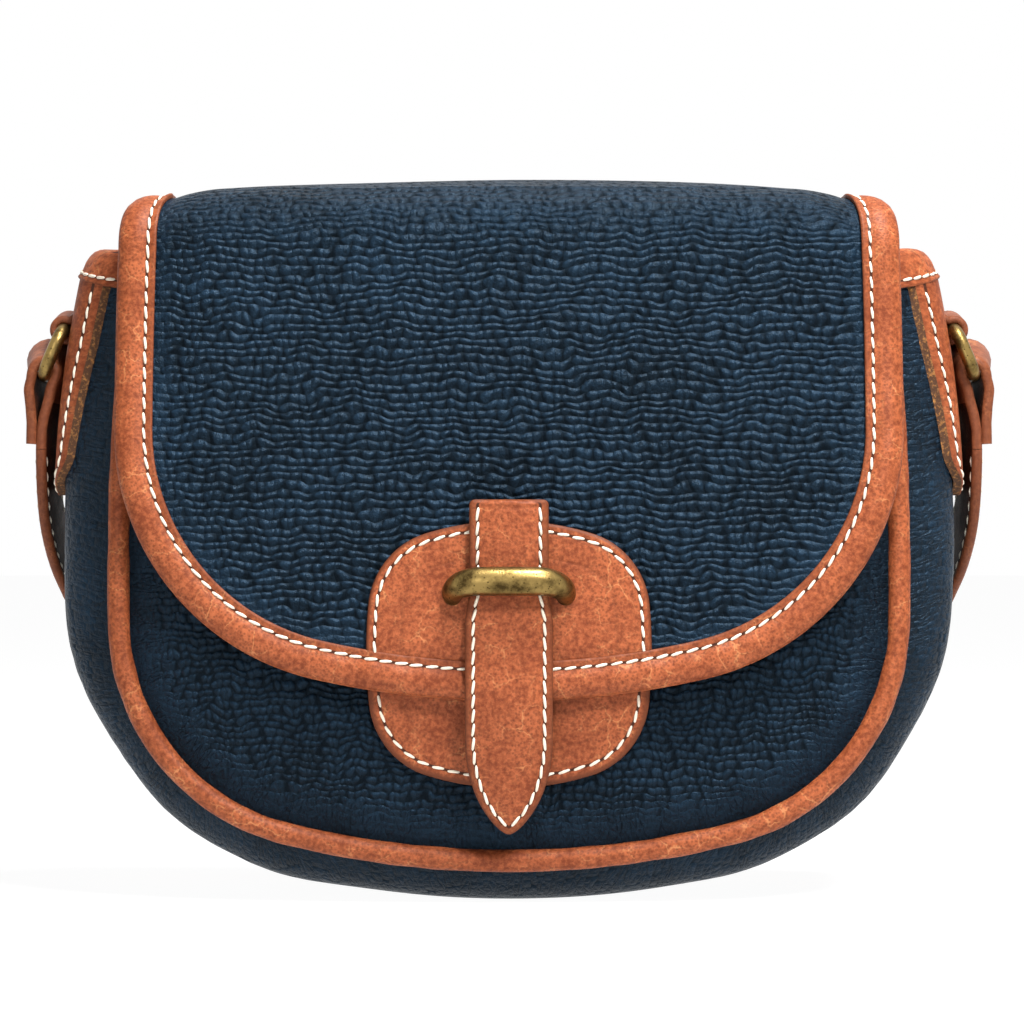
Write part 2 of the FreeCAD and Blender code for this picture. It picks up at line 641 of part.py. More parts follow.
def staple_plate():
    """The plate behind the flap that holds the keeper's legs."""
    half_width = STAPLE_PLATE_HALF_WIDTH
    half_height = STAPLE_PLATE_HALF_HEIGHT
    place = seam_place(FRONT, STAPLE_FOOT_OUT)
    corners = [place(-half_width, STAPLE_Z - half_height), place(half_width, STAPLE_Z - half_height),
               place(half_width, STAPLE_Z + half_height), place(-half_width, STAPLE_Z + half_height),
               place(-half_width, STAPLE_Z - half_height)]
    return Part.Face(Part.makePolygon(corners)).extrude(FRONT_NORMAL * -STAPLE_PLATE_THICKNESS)


# Anchors, rings and strap ends, made for the left side

RING_FALL = math.radians(RING_FALL_DEGREES)
RING_BAR = V(-RING_BAR_X, 0, RING_BAR_Z)
RING_DOWN = V(-math.cos(RING_FALL), 0, -math.sin(RING_FALL))
RING_FAR_BAR = RING_BAR + RING_DOWN * RING_LENGTH
LOOP_INNER = RING_WIRE_RADIUS + LOOP_BAR_GAP
LOOP_OUTER = LOOP_INNER + LOOP_LEATHER


def cylinder_y(centre, radius, half_width):
    """A cylinder along y about a point."""
    return Part.makeCylinder(radius, 2.0 * half_width, centre - V(0, half_width, 0), V(0, 1, 0))


def anchor():
    """The leather piece on the gusset that carries the ring's loop."""
    top = ANCHOR_TOP_HALF_WIDTH
    low = ANCHOR_BOTTOM_HALF_WIDTH
    round_z = ANCHOR_BOTTOM_Z + low
    edges = [
        Part.LineSegment(V(-FAR, -top, ANCHOR_TOP_Z), V(-FAR, top, ANCHOR_TOP_Z)).toShape(),
        Part.LineSegment(V(-FAR, top, ANCHOR_TOP_Z), V(-FAR, low, round_z)).toShape(),
        Part.Arc(V(-FAR, low, round_z), V(-FAR, 0, ANCHOR_BOTTOM_Z), V(-FAR, -low, round_z)).toShape(),
        Part.LineSegment(V(-FAR, -low, round_z), V(-FAR, -top, ANCHOR_TOP_Z)).toShape(),
    ]
    outline = Part.Face(Part.Wire(edges)).extrude(V(FAR, 0, 0))
    skin = gusset_core(ANCHOR_GAP + ANCHOR_LEATHER, 0.0).cut(gusset_core(ANCHOR_GAP, 2.0))
    side = LOOP_HALF_WIDTH + ANCHOR_SLOT_SIDE_GAP
    reach = LOOP_OUTER + ANCHOR_SLOT_END_GAP
    slot = box_between((-FAR, -side, RING_BAR_Z - reach), (0.0, side, RING_BAR_Z + reach))
    return skin.common(outline).cut(slot)


def ring_loop():
    """The leather loop round the ring's inner bar, with a foot on the gusset."""
    tube = cylinder_y(RING_BAR, LOOP_OUTER, LOOP_HALF_WIDTH)
    skin = gusset_core(ANCHOR_GAP + LOOP_LEATHER, 0.0).cut(gusset_core(ANCHOR_GAP, 2.0))
    foot_low = RING_BAR_Z - LOOP_OUTER
    foot_box = box_between((-FAR, -LOOP_HALF_WIDTH, foot_low), (0.0, LOOP_HALF_WIDTH, RING_BAR_Z + LOOP_OUTER))
    bore = cylinder_y(RING_BAR, LOOP_INNER, LOOP_HALF_WIDTH + 1.0)
    inside = gusset_core(ANCHOR_GAP, 2.0)
    return tube.fuse(skin.common(foot_box)).cut(bore).cut(inside).removeSplitter()


def ring_point(y, along):
    """A point in the ring's plane."""
    return RING_BAR + RING_DOWN * along + V(0, y, 0)


def ring():
    """A round wire closed into a rounded rectangle."""
    wide = RING_HALF_WIDTH
    long = RING_LENGTH
    corner = RING_CORNER_RADIUS
    soft = corner * (1.0 - math.sqrt(0.5))
    bars = [
        (ring_point(-wide + corner, 0), ring_point(wide - corner, 0)),
        (ring_point(wide, corner), ring_point(wide, long - corner)),
        (ring_point(wide - corner, long), ring_point(-wide + corner, long)),
        (ring_point(-wide, long - corner), ring_point(-wide, corner)),
    ]
    bends = [
        (ring_point(wide - corner, 0), ring_point(wide - soft, soft), ring_point(wide, corner)),
        (ring_point(wide, long - corner), ring_point(wide - soft, long - soft),
         ring_point(wide - corner, long)),
        (ring_point(-wide + corner, long), ring_point(-wide + soft, long - soft),
         ring_point(-wide, long - corner)),
        (ring_point(-wide, corner), ring_point(-wide + soft, soft), ring_point(-wide + corner, 0)),
    ]
    pieces = []
    for bar, bend in zip(bars, bends):
        run = bar[1] - bar[0]
        pieces.append(Part.makeCylinder(RING_WIRE_RADIUS, run.Length, bar[0], run))
        pieces.append(swept_wire([Part.Arc(*bend).toShape()], bend[0], run, RING_WIRE_RADIUS))
    return pieces[0].fuse(pieces[1:]).removeSplitter()


def tangent_point(centre, radius, outside, side):
    """Where a line from a point in x, z touches a circle, on the side with larger (1) or smaller (-1) x."""
    across = outside.x - centre.x
    up = outside.z - centre.z
    apart = math.hypot(across, up)
    base = math.atan2(up, across)
    swing = math.acos(radius / apart)
    points = []
    for turn in (swing, -swing):
        points.append(V(centre.x + radius * math.cos(base + turn), 0, centre.z + radius * math.sin(base + turn)))
    return max(points, key=lambda point: side * point.x)


def strap_leg(low, high):
    """A straight length of strap in x, z, its width along y."""
    run = high - low
    across = V(run.z, 0, -run.x).normalize() * (SHOULDER_LEATHER / 2.0)
    shift = V(0, -SHOULDER_HALF_WIDTH, 0)
    corners = [low + across + shift, high + across + shift, high - across + shift, low - across + shift,
               low + across + shift]
    return Part.Face(Part.makePolygon(corners)).extrude(V(0, 2.0 * SHOULDER_HALF_WIDTH, 0))


def strap_end():
    """The strap's end folded over the ring's outer bar: main leg, turn and tail."""
    half = SHOULDER_LEATHER / 2.0
    radius = RING_WIRE_RADIUS + SHOULDER_BAR_GAP + half
    main_low = V(-SHOULDER_END_X, 0, SHOULDER_END_Z)
    tail_low = V(-SHOULDER_END_X - SHOULDER_LEATHER - SHOULDER_TAIL_GAP, 0, SHOULDER_END_Z)
    main_high = tangent_point(RING_FAR_BAR, radius, main_low, 1)
    tail_high = tangent_point(RING_FAR_BAR, radius, tail_low, -1)
    spokes = [main_high - RING_FAR_BAR, tail_high - RING_FAR_BAR]
    angles = [math.atan2(spoke.z, spoke.x) for spoke in spokes]
    sweep = (angles[1] - angles[0]) % (2.0 * math.pi)
    outward = V(math.cos(angles[0]), 0, math.sin(angles[0]))
    shift = V(0, -SHOULDER_HALF_WIDTH, 0)
    wide = V(0, 2.0 * SHOULDER_HALF_WIDTH, 0)
    near = RING_FAR_BAR + outward * (radius - half) + shift
    far = RING_FAR_BAR + outward * (radius + half) + shift
    face = Part.Face(Part.makePolygon([near, far, far + wide, near + wide, near]))
    turn = face.revolve(RING_FAR_BAR, V(0, -1, 0), math.degrees(sweep))
    return turn.fuse([strap_leg(main_low, main_high), strap_leg(tail_low, tail_high)]).removeSplitter()


# Shoulder strap between the two rings, folded in a pile behind the bag

def strap_route():
    """Hand-placed points of the strap, from the left ring to the right ring."""
    pile = SHOULDER_PILE_Y
    floor = SHOULDER_LEATHER / 2.0 + SHOULDER_FLOOR_GAP
    step = SHOULDER_PILE_STEP
    run = SHOULDER_PILE_RUN
    turn = SHOULDER_PILE_TURN
    reach = SHOULDER_PILE_REACH
    drop = [(SHOULDER_END_X, 0.0, SHOULDER_END_Z - SHOULDER_JOIN_GAP)] + SHOULDER_DROP
    left = [(-x, y, z) for x, y, z in drop + SHOULDER_LANDING]
    left.append((-turn, pile, floor))
    rows = []
    for row in range(SHOULDER_PILE_ROWS):
        side = 1 if row % 2 == 0 else -1
        low = floor + row * 2.0 * step
        high = low + 2.0 * step
        rows += [(side * run, pile, low + 0.05 * step), (side * turn, pile, low + 0.08 * step),
                 (side * reach, pile, low), (side * reach, pile, high),
                 (side * turn, pile, high - 0.08 * step), (side * run, pile, high - 0.05 * step)]
    right = SHOULDER_LIFT + list(reversed(drop))
    return [V(*point) for point in left + rows + right]


def rounded_route(points):
    """Straight runs joined by arcs as large as the runs allow, as edges, with the arcs' radii."""
    edges = []
    radii = []
    start = points[0]
    for before, corner, after in zip(points, points[1:], points[2:]):
        back = (before - corner)
        ahead = (after - corner)
        half_turn = (math.pi - back.getAngle(ahead)) / 2.0
        cut = 0.45 * min(back.Length, ahead.Length)
        radii.append(cut / math.tan(half_turn))
        arc_start = corner + back.normalize() * cut
        arc_end = corner + ahead.normalize() * cut
        bisector = (back + ahead).normalize()
        middle = corner + bisector * (radii[-1] / math.cos(half_turn) - radii[-1])
        edges.append(Part.LineSegment(start, arc_start).toShape())
        edges.append(Part.Arc(arc_start, middle, arc_end).toShape())
        start = arc_end
    edges.append(Part.LineSegment(start, points[-1]).toShape())
    return edges, radii


def least_gap(path):
    """The smallest gap between two stretches of the strap, measured on points along its middle line."""
    points = path.discretize(Distance=3.0)
    skip = 9
    apart = min(first.distanceToPoint(second)
                for place, first in enumerate(points) for second in points[place + skip:])
    return apart - SHOULDER_LEATHER


def shoulder_strap():
    """The flat strap swept along its route, its width kept along y."""
    edges, radii = rounded_route(strap_route())
    path = Part.Wire(edges)
    start = edges[0].valueAt(edges[0].FirstParameter)
    along = edges[0].tangentAt(edges[0].FirstParameter)
    across = V(0, 1, 0).cross(along).normalize() * (SHOULDER_LEATHER / 2.0)
    wide = V(0, SHOULDER_HALF_WIDTH, 0)
    corners = [start + across + wide, start + across - wide, start - across - wide, start - across + wide,
               start + across + wide]
    sweep = Part.BRepOffsetAPI.MakePipeShell(path)
    sweep.setBiNormalMode(V(0, 1, 0))
    sweep.add(Part.Wire(Part.makePolygon(corners)), False, False)
    sweep.build()
    sweep.makeSolid()
    print("shoulder_strap length", round(path.Length, 1), "smallest bend radius", round(min(radii), 2),
          "least gap to itself", round(least_gap(path), 2))
    return sweep.shape()


# Build and write every piece

def build_body(shapes):
    """Panels, gusset, piping, bindings and the patch on the front panel."""
    leather = PANEL_LEATHER
    gap = BINDING_GAP
    thick = BINDING_LEATHER
    shapes["front_panel"] = panel_sheet(FRONT, FRONT_PILLOW, 0.0, -leather, 0.0, PANEL_END_Z)
    shapes["back_panel"] = panel_sheet(BACK, BACK_PILLOW, 0.0, -leather, 0.0, PANEL_END_Z)
    shapes["gusset"] = gusset_shell(0.0, -GUSSET_LEATHER, 0.0, GUSSET_END_Z)
    shapes["front_piping"] = piping(FRONT)
    shapes["back_piping"] = piping(BACK)
    cover = gusset_shell(gap + thick, -GUSSET_LEATHER - gap - thick, GUSSET_BINDING_LOW_Z, GUSSET_BINDING_TOP_Z)
    room = gusset_shell(gap, -GUSSET_LEATHER - gap, GUSSET_BINDING_LOW_Z - 1.0, GUSSET_END_Z + gap)
    channel = cover.cut(room)
    shapes["gusset_binding_left"] = channel.common(half_space_x(-1))
    shapes["gusset_binding_right"] = channel.common(half_space_x(1))
    cover = panel_sheet(FRONT, FRONT_PILLOW, gap + thick, -leather - gap - thick,
                        MOUTH_BINDING_LOW_Z, MOUTH_BINDING_TOP_Z)
    room = panel_sheet(FRONT, FRONT_PILLOW, gap, -leather - gap, MOUTH_BINDING_LOW_Z - 1.0, PANEL_END_Z + gap)
    shapes["mouth_binding"] = cover.cut(room)
    patch_prism = front_prism(PATCH.wire(0.0, BODY_PATCH_TOP_Z, level_place(-FAR)))
    skin = panel_sheet(FRONT, FRONT_PILLOW, PATCH_GAP + PATCH_LEATHER, PATCH_GAP, 0.0, PANEL_END_Z)
    shapes["body_patch"] = skin.common(patch_prism)


def build_flap(shapes):
    """The flap's three lengths, their bindings, and the patch, strap and keeper on it."""
    thin = front_band(-HALF_FLAP, HALF_FLAP)
    clear = front_band(-PANEL_CLEAR, PANEL_CLEAR).common(flap_prism(-FLAP_EDGE_INSET + BINDING_GAP))
    thick = front_band(-BINDING_OUT, BINDING_OUT)
    shapes["flap_front"] = thin.common(flap_prism(-FLAP_EDGE_INSET)).cut(staple_holes())
    edge = flap_prism(0.0).cut(flap_prism(-FLAP_BINDING_WIDTH))
    shapes["flap_binding_front"] = thick.common(edge).cut(clear)
    wide = FLAP_TOP_HALF_WIDTH
    inset = wide - FLAP_EDGE_INSET
    inner = wide - FLAP_BINDING_WIDTH
    shapes["flap_top"] = top_band(-HALF_FLAP, HALF_FLAP, inset)
    shapes["flap_rear"] = rear_band(-HALF_FLAP, HALF_FLAP, inset)
    for name, band in (("flap_binding_top", top_band), ("flap_binding_rear", rear_band)):
        cover = band(-BINDING_OUT, BINDING_OUT, wide)
        room = band(-PANEL_CLEAR, PANEL_CLEAR, inset + BINDING_GAP)
        shapes[name + "_left"] = side_strips(cover, room, inner, wide + 1.0, -1)
        shapes[name + "_right"] = side_strips(cover, room, inner, wide + 1.0, 1)
    low_z = FLAP_BOTTOM_Z + FLAP_BINDING_WIDTH + PATCH_BINDING_GAP
    flip_z = 2.0 * PATCH_MIDDLE_Z

    def flipped(x, z):
        return V(x, -FAR, flip_z - z)

    patch_prism = front_prism(PATCH.wire(0.0, flip_z - low_z, flipped))
    inner_room = flap_prism(-FLAP_BINDING_WIDTH - PATCH_BINDING_GAP)
    patch = front_band(HALF_FLAP + PATCH_GAP, HALF_FLAP + PATCH_GAP + PATCH_LEATHER)
    shapes["flap_patch"] = patch.common(patch_prism).common(inner_room).cut(staple_holes())
    strap_low = front_point(TAB_INNER_OUT, TAB_TOP_Z + TAB_JOIN_GAP).z
    strap = front_band(STRAP_IN, STRAP_OUT).common(front_prism(strap_outline()))
    shapes["closing_strap"] = strap.common(level_slab(strap_low, FAR))
    shapes["staple"] = staple()
    shapes["staple_plate"] = staple_plate()


def build_closure(shapes):
    """The tab with its snap."""
    shapes["closing_tab"] = closing_tab()
    centre = snap_centre()
    inward = TAB_END_NORMAL * -1.0
    stud_start = centre + inward * SNAP_SEAT_GAP
    shapes["snap_stud"] = Part.makeCylinder(SNAP_STUD_RADIUS, SNAP_STUD_HEIGHT, stud_start, inward)
    socket_start = stud_start + inward * (SNAP_STUD_HEIGHT + SNAP_GAP)
    socket = Part.makeCylinder(SNAP_SOCKET_RADIUS, SNAP_SOCKET_REACH, socket_start, inward)
    seat = panel_pillow(FRONT, FRONT_PILLOW, PATCH_GAP + PATCH_LEATHER + SNAP_SEAT_GAP)
    shapes["snap_socket"] = socket.cut(seat)
    plate_top = -PANEL_LEATHER - SNAP_SEAT_GAP
    plate = panel_sheet(FRONT, FRONT_PILLOW, plate_top, plate_top - SNAP_PLATE_THICKNESS, 0.0, PANEL_END_Z)
    punch = Part.makeCylinder(SNAP_PLATE_RADIUS, 30.0, centre, inward)
    shapes["snap_plate"] = plate.common(punch)


def build_strap_side(shapes):
    """Anchors, loops, rings and strap ends, then the strap."""
    makers = {"anchor": anchor, "ring_loop": ring_loop, "ring": ring, "strap_end": strap_end}
    for name, maker in makers.items():
        left = maker()
        shapes[name + "_left"] = left
        shapes[name + "_right"] = mirrored_x(left)
    shapes["shoulder_strap"] = shoulder_strap()


def write_all(shapes):
    """Writes every piece, with its size, and stops on a broken one."""
    os.makedirs("parts", exist_ok=True)
    for name, shape in shapes.items():
        solids = shape.Solids
        if len(solids) != 1 or not solids[0].isValid() or solids[0].Volume <= 0.0:
            print("CHECK", name, "solids", len(solids), [round(solid.Volume, 1) for solid in solids])
        result = solids[0] if len(solids) == 1 else shape
        box = result.BoundBox
        print(name, round(result.Volume), "x", round(box.XMin, 1), round(box.XMax, 1), "y", round(box.YMin, 1),
              round(box.YMax, 1), "z", round(box.ZMin, 1), round(box.ZMax, 1))
        result.exportStep("parts/" + name + ".step")


def main():
    shapes = {}
    build_body(shapes)
    build_flap(shapes)
    build_closure(shapes)
    build_strap_side(shapes)
    write_all(shapes)
    back_hinge = BACK_BEND_CENTRE + turned(UP, BACK_MID) * (FLAP_BACK_BEND + HALF_FLAP)
    front_fold = FRONT_BEND_CENTRE + turned(FRONT_NORMAL, FRONT_MID) * (FLAP_FRONT_BEND + HALF_FLAP)
    tab_hinge = front_point(TAB_INNER_OUT + TAB_LEATHER, TAB_TOP_Z + TAB_JOIN_GAP / 2.0)
    print("flap hinge", back_hinge, "flap fold", front_fold, "tab hinge", tab_hinge, "ring bar", RING_BAR)


main()
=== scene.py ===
import math

import bmesh
import bpy
import numpy as np
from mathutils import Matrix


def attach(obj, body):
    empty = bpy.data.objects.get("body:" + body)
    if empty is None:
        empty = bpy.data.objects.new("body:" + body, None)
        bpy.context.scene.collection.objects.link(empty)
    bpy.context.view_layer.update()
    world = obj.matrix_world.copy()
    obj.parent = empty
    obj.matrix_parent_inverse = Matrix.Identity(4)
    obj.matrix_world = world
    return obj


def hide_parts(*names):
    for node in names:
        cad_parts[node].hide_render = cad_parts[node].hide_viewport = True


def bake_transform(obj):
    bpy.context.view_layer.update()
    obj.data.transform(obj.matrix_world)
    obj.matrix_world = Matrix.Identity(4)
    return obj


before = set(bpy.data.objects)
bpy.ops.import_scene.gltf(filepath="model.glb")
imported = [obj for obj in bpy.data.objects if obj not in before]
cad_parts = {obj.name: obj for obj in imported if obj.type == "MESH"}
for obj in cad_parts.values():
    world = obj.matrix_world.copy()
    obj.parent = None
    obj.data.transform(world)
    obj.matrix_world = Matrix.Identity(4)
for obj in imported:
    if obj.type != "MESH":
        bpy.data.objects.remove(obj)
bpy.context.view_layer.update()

bl_info = {
    "name": "Saddle handbag",
    "version": (1, 0, 0),
    "blender": (4, 5, 0),
    "location": "3D View > Sidebar > Handbag",
    "description": "Dresses the saddle handbag's frame in leather, stitching and brass",
    "category": "Add Mesh",
}

# Lengths in this file are millimetres until a mesh is made. +Z is up, the front faces -Y.
MM = 0.001
PI = math.pi
BAG_MIDDLE = (0.0, 0.0, 90.0)

# A texture of scale PER_MM / 15.0 has features of about 15 mm
PER_MM = 1000.0

# Seam planes lean in toward the top
SEAM_DEPTH = 36.0
SEAM_BOTTOM = 11.6
LEAN = math.radians(3.2)
LEAN_SIN = math.sin(LEAN)
LEAN_COS = math.cos(LEAN)
FRONT = -1.0
BACK = 1.0

# Saddle outlines, each of a side arc, a corner arc and a bottom arc
SEAM = {"half_width": 102.8, "widest": 89.4, "narrowing": 4.8, "rise": 80.6,
        "bottom": 11.6, "bottom_radius": 243.8, "corner_radius": 57.9}
FULLEST = {"half_width": 119.0, "widest": 101.7, "narrowing": 8.0, "rise": 70.3,
           "bottom": 0.1, "bottom_radius": 281.3, "corner_radius": 80.0}
FLAP = {"half_width": 103.4, "widest": 133.1, "narrowing": 0.7, "rise": 40.0,
        "bottom": 53.9, "bottom_radius": 228.0, "corner_radius": 67.5}
PATCH = {"half_width": 37.1, "widest": 66.0, "narrowing": 1.1, "rise": 18.0,
         "bottom": 32.3, "bottom_radius": 75.0, "corner_radius": 21.0}
PANEL_TOP = 168.0
GUSSET_TOP = 172.3
PIPING_RADIUS = 3.0

# Flap path: front leg, front bend, flat top, back bend, rear leg
ARCH_RADIUS = 1716.4
FRONT_BEND = 19.0
BACK_BEND = 14.0
FRONT_CENTRE = (-22.63, 172.0)
BACK_CENTRE = (22.15, 177.0)
FRONT_ARC = FRONT_BEND * (PI / 2.0 - LEAN)
BACK_ARC = BACK_BEND * (PI / 2.0 - LEAN)
TOP_RUN = BACK_CENTRE[0] - FRONT_CENTRE[0]
FLAP_MIDDLE = FRONT_ARC + TOP_RUN / 2.0
FLAP_LEG_TOP = FRONT_CENTRE[1] + FRONT_BEND * LEAN_SIN
FLAP_REAR_END = FRONT_ARC + TOP_RUN + BACK_ARC + 27.8
FLAP_TOP_HALF_WIDTH = 99.4
STITCH_INSET = 8.0

# Closing strap
STRAP_TOP = 105.4
STRAP_BEND = 58.0
STRAP_BEND_RADIUS = 40.0
STRAP_BEND_TURN = math.radians(14.0)
STRAP_INNER_OUT = 17.6
STRAP_THICKNESS = 3.0
STRAP_SHOULDER = 44.0
STRAP_TIP = 19.3
STRAP_LENGTH = 87.0

# Ring and strap end on the left
RING_BAR = (-119.7, 152.0)
RING_FALL = math.radians(67.0)
RING_LENGTH = 13.1
RING_WIRE = 1.8
SHOULDER_THICKNESS = 2.8
TWIST = math.radians(7.0)
SHOULDER_HALF_WIDTH = 9.5

# Anchor: straight from its top to where its round end starts
ANCHOR_TOP = 167.6
ANCHOR_ROUND = 119.0
ANCHOR_END = 11.4
ANCHOR_HALF_WIDTH = 19.4

# Pile of the shoulder strap behind the bag
PILE_Y = 58.0
PILE_MIDDLE_Z = 23.2
TIE_MIDDLE_Z = 24.1

# Leather thicknesses
BODY_HIDE = 1.9
FLAP_HIDE = 2.0
PATCH_HIDE = 1.6
STRAP_HIDE = 2.5

# Sewing: pitches of the lesser rows, insets, and the seam mark's value where no row is near
PATCH_PITCH = 4.0
SHOULDER_PITCH = 4.2
CLOSING_PITCH = 3.7
GUSSET_PITCH = 3.4
CLOSING_INSET = 2.15
SHOULDER_SEWING = 7.3
MOUTH_SEWING = 162.6
NO_SEAM = 9.0

# Heights of the patch over the flap and the front panel, and of its stitches over its back
PATCH_ON_FLAP = 1.05
PATCH_ON_PANEL = 0.45
PATCH_STITCHES = 1.58

# Bends across joints: two bodies, then where the bend starts and ends, in metres
FRONT_FOLD = ("flap_crown", "flap_fall", (0.0, -0.0200, 0.1925), (0.0, -0.0430, 0.1690))
REAR_FOLD = ("bag", "flap_crown", (0.0, 0.0370, 0.1745), (0.0, 0.0190, 0.1925))
STRAP_FOLD = ("flap_fall", "tab", (0.0, -0.0515, 0.0835), (0.0, -0.0530, 0.0755))
SHOULDER_BEND = ((0.104, 0.047, 0.05), (0.1256, 0.0, 0.121))


class HandbagSizes(bpy.types.PropertyGroup):
    """Sizes of the sewing and the grain."""
    stitch_pitch: bpy.props.FloatProperty(
        name="Stitch pitch", description="From one stitch to the next on the flap",
        default=0.0040, unit="LENGTH")
    stitch_length: bpy.props.FloatProperty(
        name="Stitch length", description="Length of one visible stitch", default=0.0036, unit="LENGTH")
    thread_radius: bpy.props.FloatProperty(
        name="Thread radius", description="Radius of the sewing thread", default=0.00042, unit="LENGTH")
    pebble_width: bpy.props.FloatProperty(
        name="Pebble width", description="Width of one pebble of the navy grain",
        default=0.0027, unit="LENGTH")
    pebble_height: bpy.props.FloatProperty(
        name="Pebble height", description="Height of one pebble of the navy grain",
        default=0.0022, unit="LENGTH")


def linear(code):
    """An sRGB hex code as linear RGBA: c/12.92 below 0.04045, else ((c + 0.055) / 1.055) ** 2.4."""
    values = [int(code[place:place + 2], 16) / 255.0 for place in (0, 2, 4)]
    return [v / 12.92 if v <= 0.04045 else ((v + 0.055) / 1.055) ** 2.4 for v in values] + [1.0]


def colour_property(name, description, code):
    """A colour that the user can change, from its sRGB hex code."""
    return bpy.props.FloatVectorProperty(
        name=name, description=description, size=4, min=0.0, max=1.0, subtype="COLOR", default=linear(code))


class HandbagColours(bpy.types.PropertyGroup):
    """Colours of the leathers, thread and metal."""
    navy: colour_property("Navy", "Tops of the pebbled grain", "0c1823")
    # Painted shade: colour painted into the creases of the pebbled grain
    navy_crease_shade: colour_property("Navy crease", "Creases of the pebbled grain", "030507")
    tan: colour_property("Tan", "Oiled tan leather", "a65a36")
    tan_dark: colour_property("Tan shade", "Darker clouds in the tan leather", "70341b")
    tan_pale: colour_property("Tan pull", "Pale creases where the oil has moved", "bf7f52")
    burnished: colour_property("Burnished edge", "Cut and burnished edges", "5e301b")
    brown: colour_property("Brown", "Strap leather", "8a4f33")
    brown_dark: colour_property("Dark brown", "Flesh side of the strap", "3b231b")
    raw: colour_property("Raw edge", "Fibres of a raw cut edge", "4a2e1a")
    raw_pale: colour_property("Raw fibre", "Pale fibres of a raw cut edge", "a5703a")
    suede: colour_property("Suede", "Flesh side inside the bag", "2a3442")
    thread: colour_property("Thread", "Waxed sewing thread", "f2e9da")
    brass: colour_property("Brass", "Worn antique brass", "927a48")
    brass_dark: colour_property("Brass patina", "Patina in the brass", "43351c")


# Mesh making

def grid_quads(rows, columns):
    """Corner numbers of the quads of a rows x columns grid of points."""
    index = np.arange(rows * columns).reshape(rows, columns)
    return np.stack([index[:-1, :-1], index[:-1, 1:], index[1:, 1:], index[1:, :-1]], axis=-1).reshape(-1, 4)


def new_mesh(name, points, quads, maps=None, marks=None, closed=False, centre=BAG_MIDDLE, slots=None):
    """A smooth mesh object of points in mm and quads, with named flat maps in mm and named point values.

    Doubled points are merged, so that poles and seams close. A closed shell gets its normals outward; an
    open sheet is turned so that it faces away from centre."""
    mesh = bpy.data.meshes.new(name)
    points = np.asarray(points, float).reshape(-1, 3)
    mesh.from_pydata((points * MM).tolist(), [], quads.tolist())
    for label, flat in (maps or {}).items():
        corners = np.asarray(flat, float).reshape(-1, 2)[quads.ravel()]
        layer = mesh.uv_layers.new(name=label)
        layer.uv.foreach_set("vector", (corners * MM).ravel())
    for mark, values in (marks or {}).items():
        attribute = mesh.attributes.new(mark, "FLOAT", "POINT")
        values = np.broadcast_to(values, points.shape[:1]) if np.ndim(values) == 0 else np.asarray(values)
        attribute.data.foreach_set("value", values.ravel().astype(np.float32))
    if slots is not None:
        mesh.polygons.foreach_set("material_index", np.asarray(slots, np.int32).ravel())
    work = bmesh.new()
    work.from_mesh(mesh)
    bmesh.ops.remove_doubles(work, verts=work.verts, dist=0.00002)
    if closed:
        bmesh.ops.recalc_face_normals(work, faces=work.faces)
    work.to_mesh(mesh)
    work.free()
    if not closed:
        count = len(mesh.polygons)
        normals = np.zeros(3 * count)
        centres = np.zeros(3 * count)
        mesh.polygons.foreach_get("normal", normals)
        mesh.polygons.foreach_get("center", centres)
        away = centres.reshape(-1, 3) - np.array(centre) * MM
        if (normals.reshape(-1, 3) * away).sum() < 0.0:
            mesh.flip_normals()
    mesh.polygons.foreach_set("use_smooth", np.ones(len(mesh.polygons), bool))
    mesh.set_sharp_from_angle(angle=math.radians(70.0))
    mesh.update()
    piece = bpy.data.objects.new(name, mesh)
    bpy.context.scene.collection.objects.link(piece)
    return piece


def new_grid(name, points, flat=None, marks=None, closed=False, centre=BAG_MIDDLE, around=None):
    """A mesh object from a rows x columns x 3 array of points in mm, with one or two flat maps."""
    rows, columns = points.shape[:2]
    maps = {label: values for label, values in (("Flat", flat), ("Around", around)) if values is not None}
    return new_mesh(name, points, grid_quads(rows, columns), maps, marks, closed, centre)


def new_rods(name, points, flat, marks=None, slots=None):
    """A closed mesh from rows x columns x 3 points whose columns close on themselves, with both ends capped.

    slots gives the material slot of each face between the rows."""
    rows, columns = points.shape[:2]
    middles = np.stack([points[0].mean(axis=0), points[-1].mean(axis=0)])
    caps = np.stack([np.repeat(middles[:1], columns, axis=0), np.repeat(middles[1:], columns, axis=0)])
    whole = np.concatenate([caps[:1], points, caps[1:]])
    spread = {"Flat": np.concatenate([flat[:1], flat, flat[-1:]])}
    wide = {}
    for mark, values in (marks or {}).items():
        full = np.broadcast_to(values, (rows, columns))
        wide[mark] = np.concatenate([full[:1], full, full[-1:]])
    if slots is not None:
        ends = np.zeros((1, columns - 1), int)
        slots = np.concatenate([ends, slots, ends])
    return new_mesh(name, whole, grid_quads(rows + 2, columns), spread, wide, closed=True, slots=slots)


def thicken(piece, thickness, rim_slot=0, inner_slot=0):
    """Gives a sheet its leather's thickness, inward from the face that shows."""
    wall = piece.modifiers.new("Leather", "SOLIDIFY")
    wall.thickness = thickness * MM
    wall.offset = -1.0
    wall.material_offset_rim = rim_slot
    wall.material_offset = inner_slot


def dress(piece, materials, replaces=()):
    """Gives a piece its materials and hides the nodes it stands for."""
    for material in materials:
        piece.data.materials.append(material)
    if replaces:
        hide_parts(*replaces)


def eased(share):
    """Smooth step from 0 to 1: t * t * (3 - 2 t)."""
    share = np.clip(share, 0.0, 1.0)
    return share * share * (3.0 - 2.0 * share)


def unit(vectors):
    """Vectors of length 1."""
    return vectors / np.maximum(np.linalg.norm(vectors, axis=-1, keepdims=True), 1e-9)


def run_length(points):
    """Length along a line of points, from 0 at the first."""
    steps = np.linalg.norm(np.diff(points, axis=0), axis=1)
    return np.concatenate([[0.0], np.cumsum(steps)])


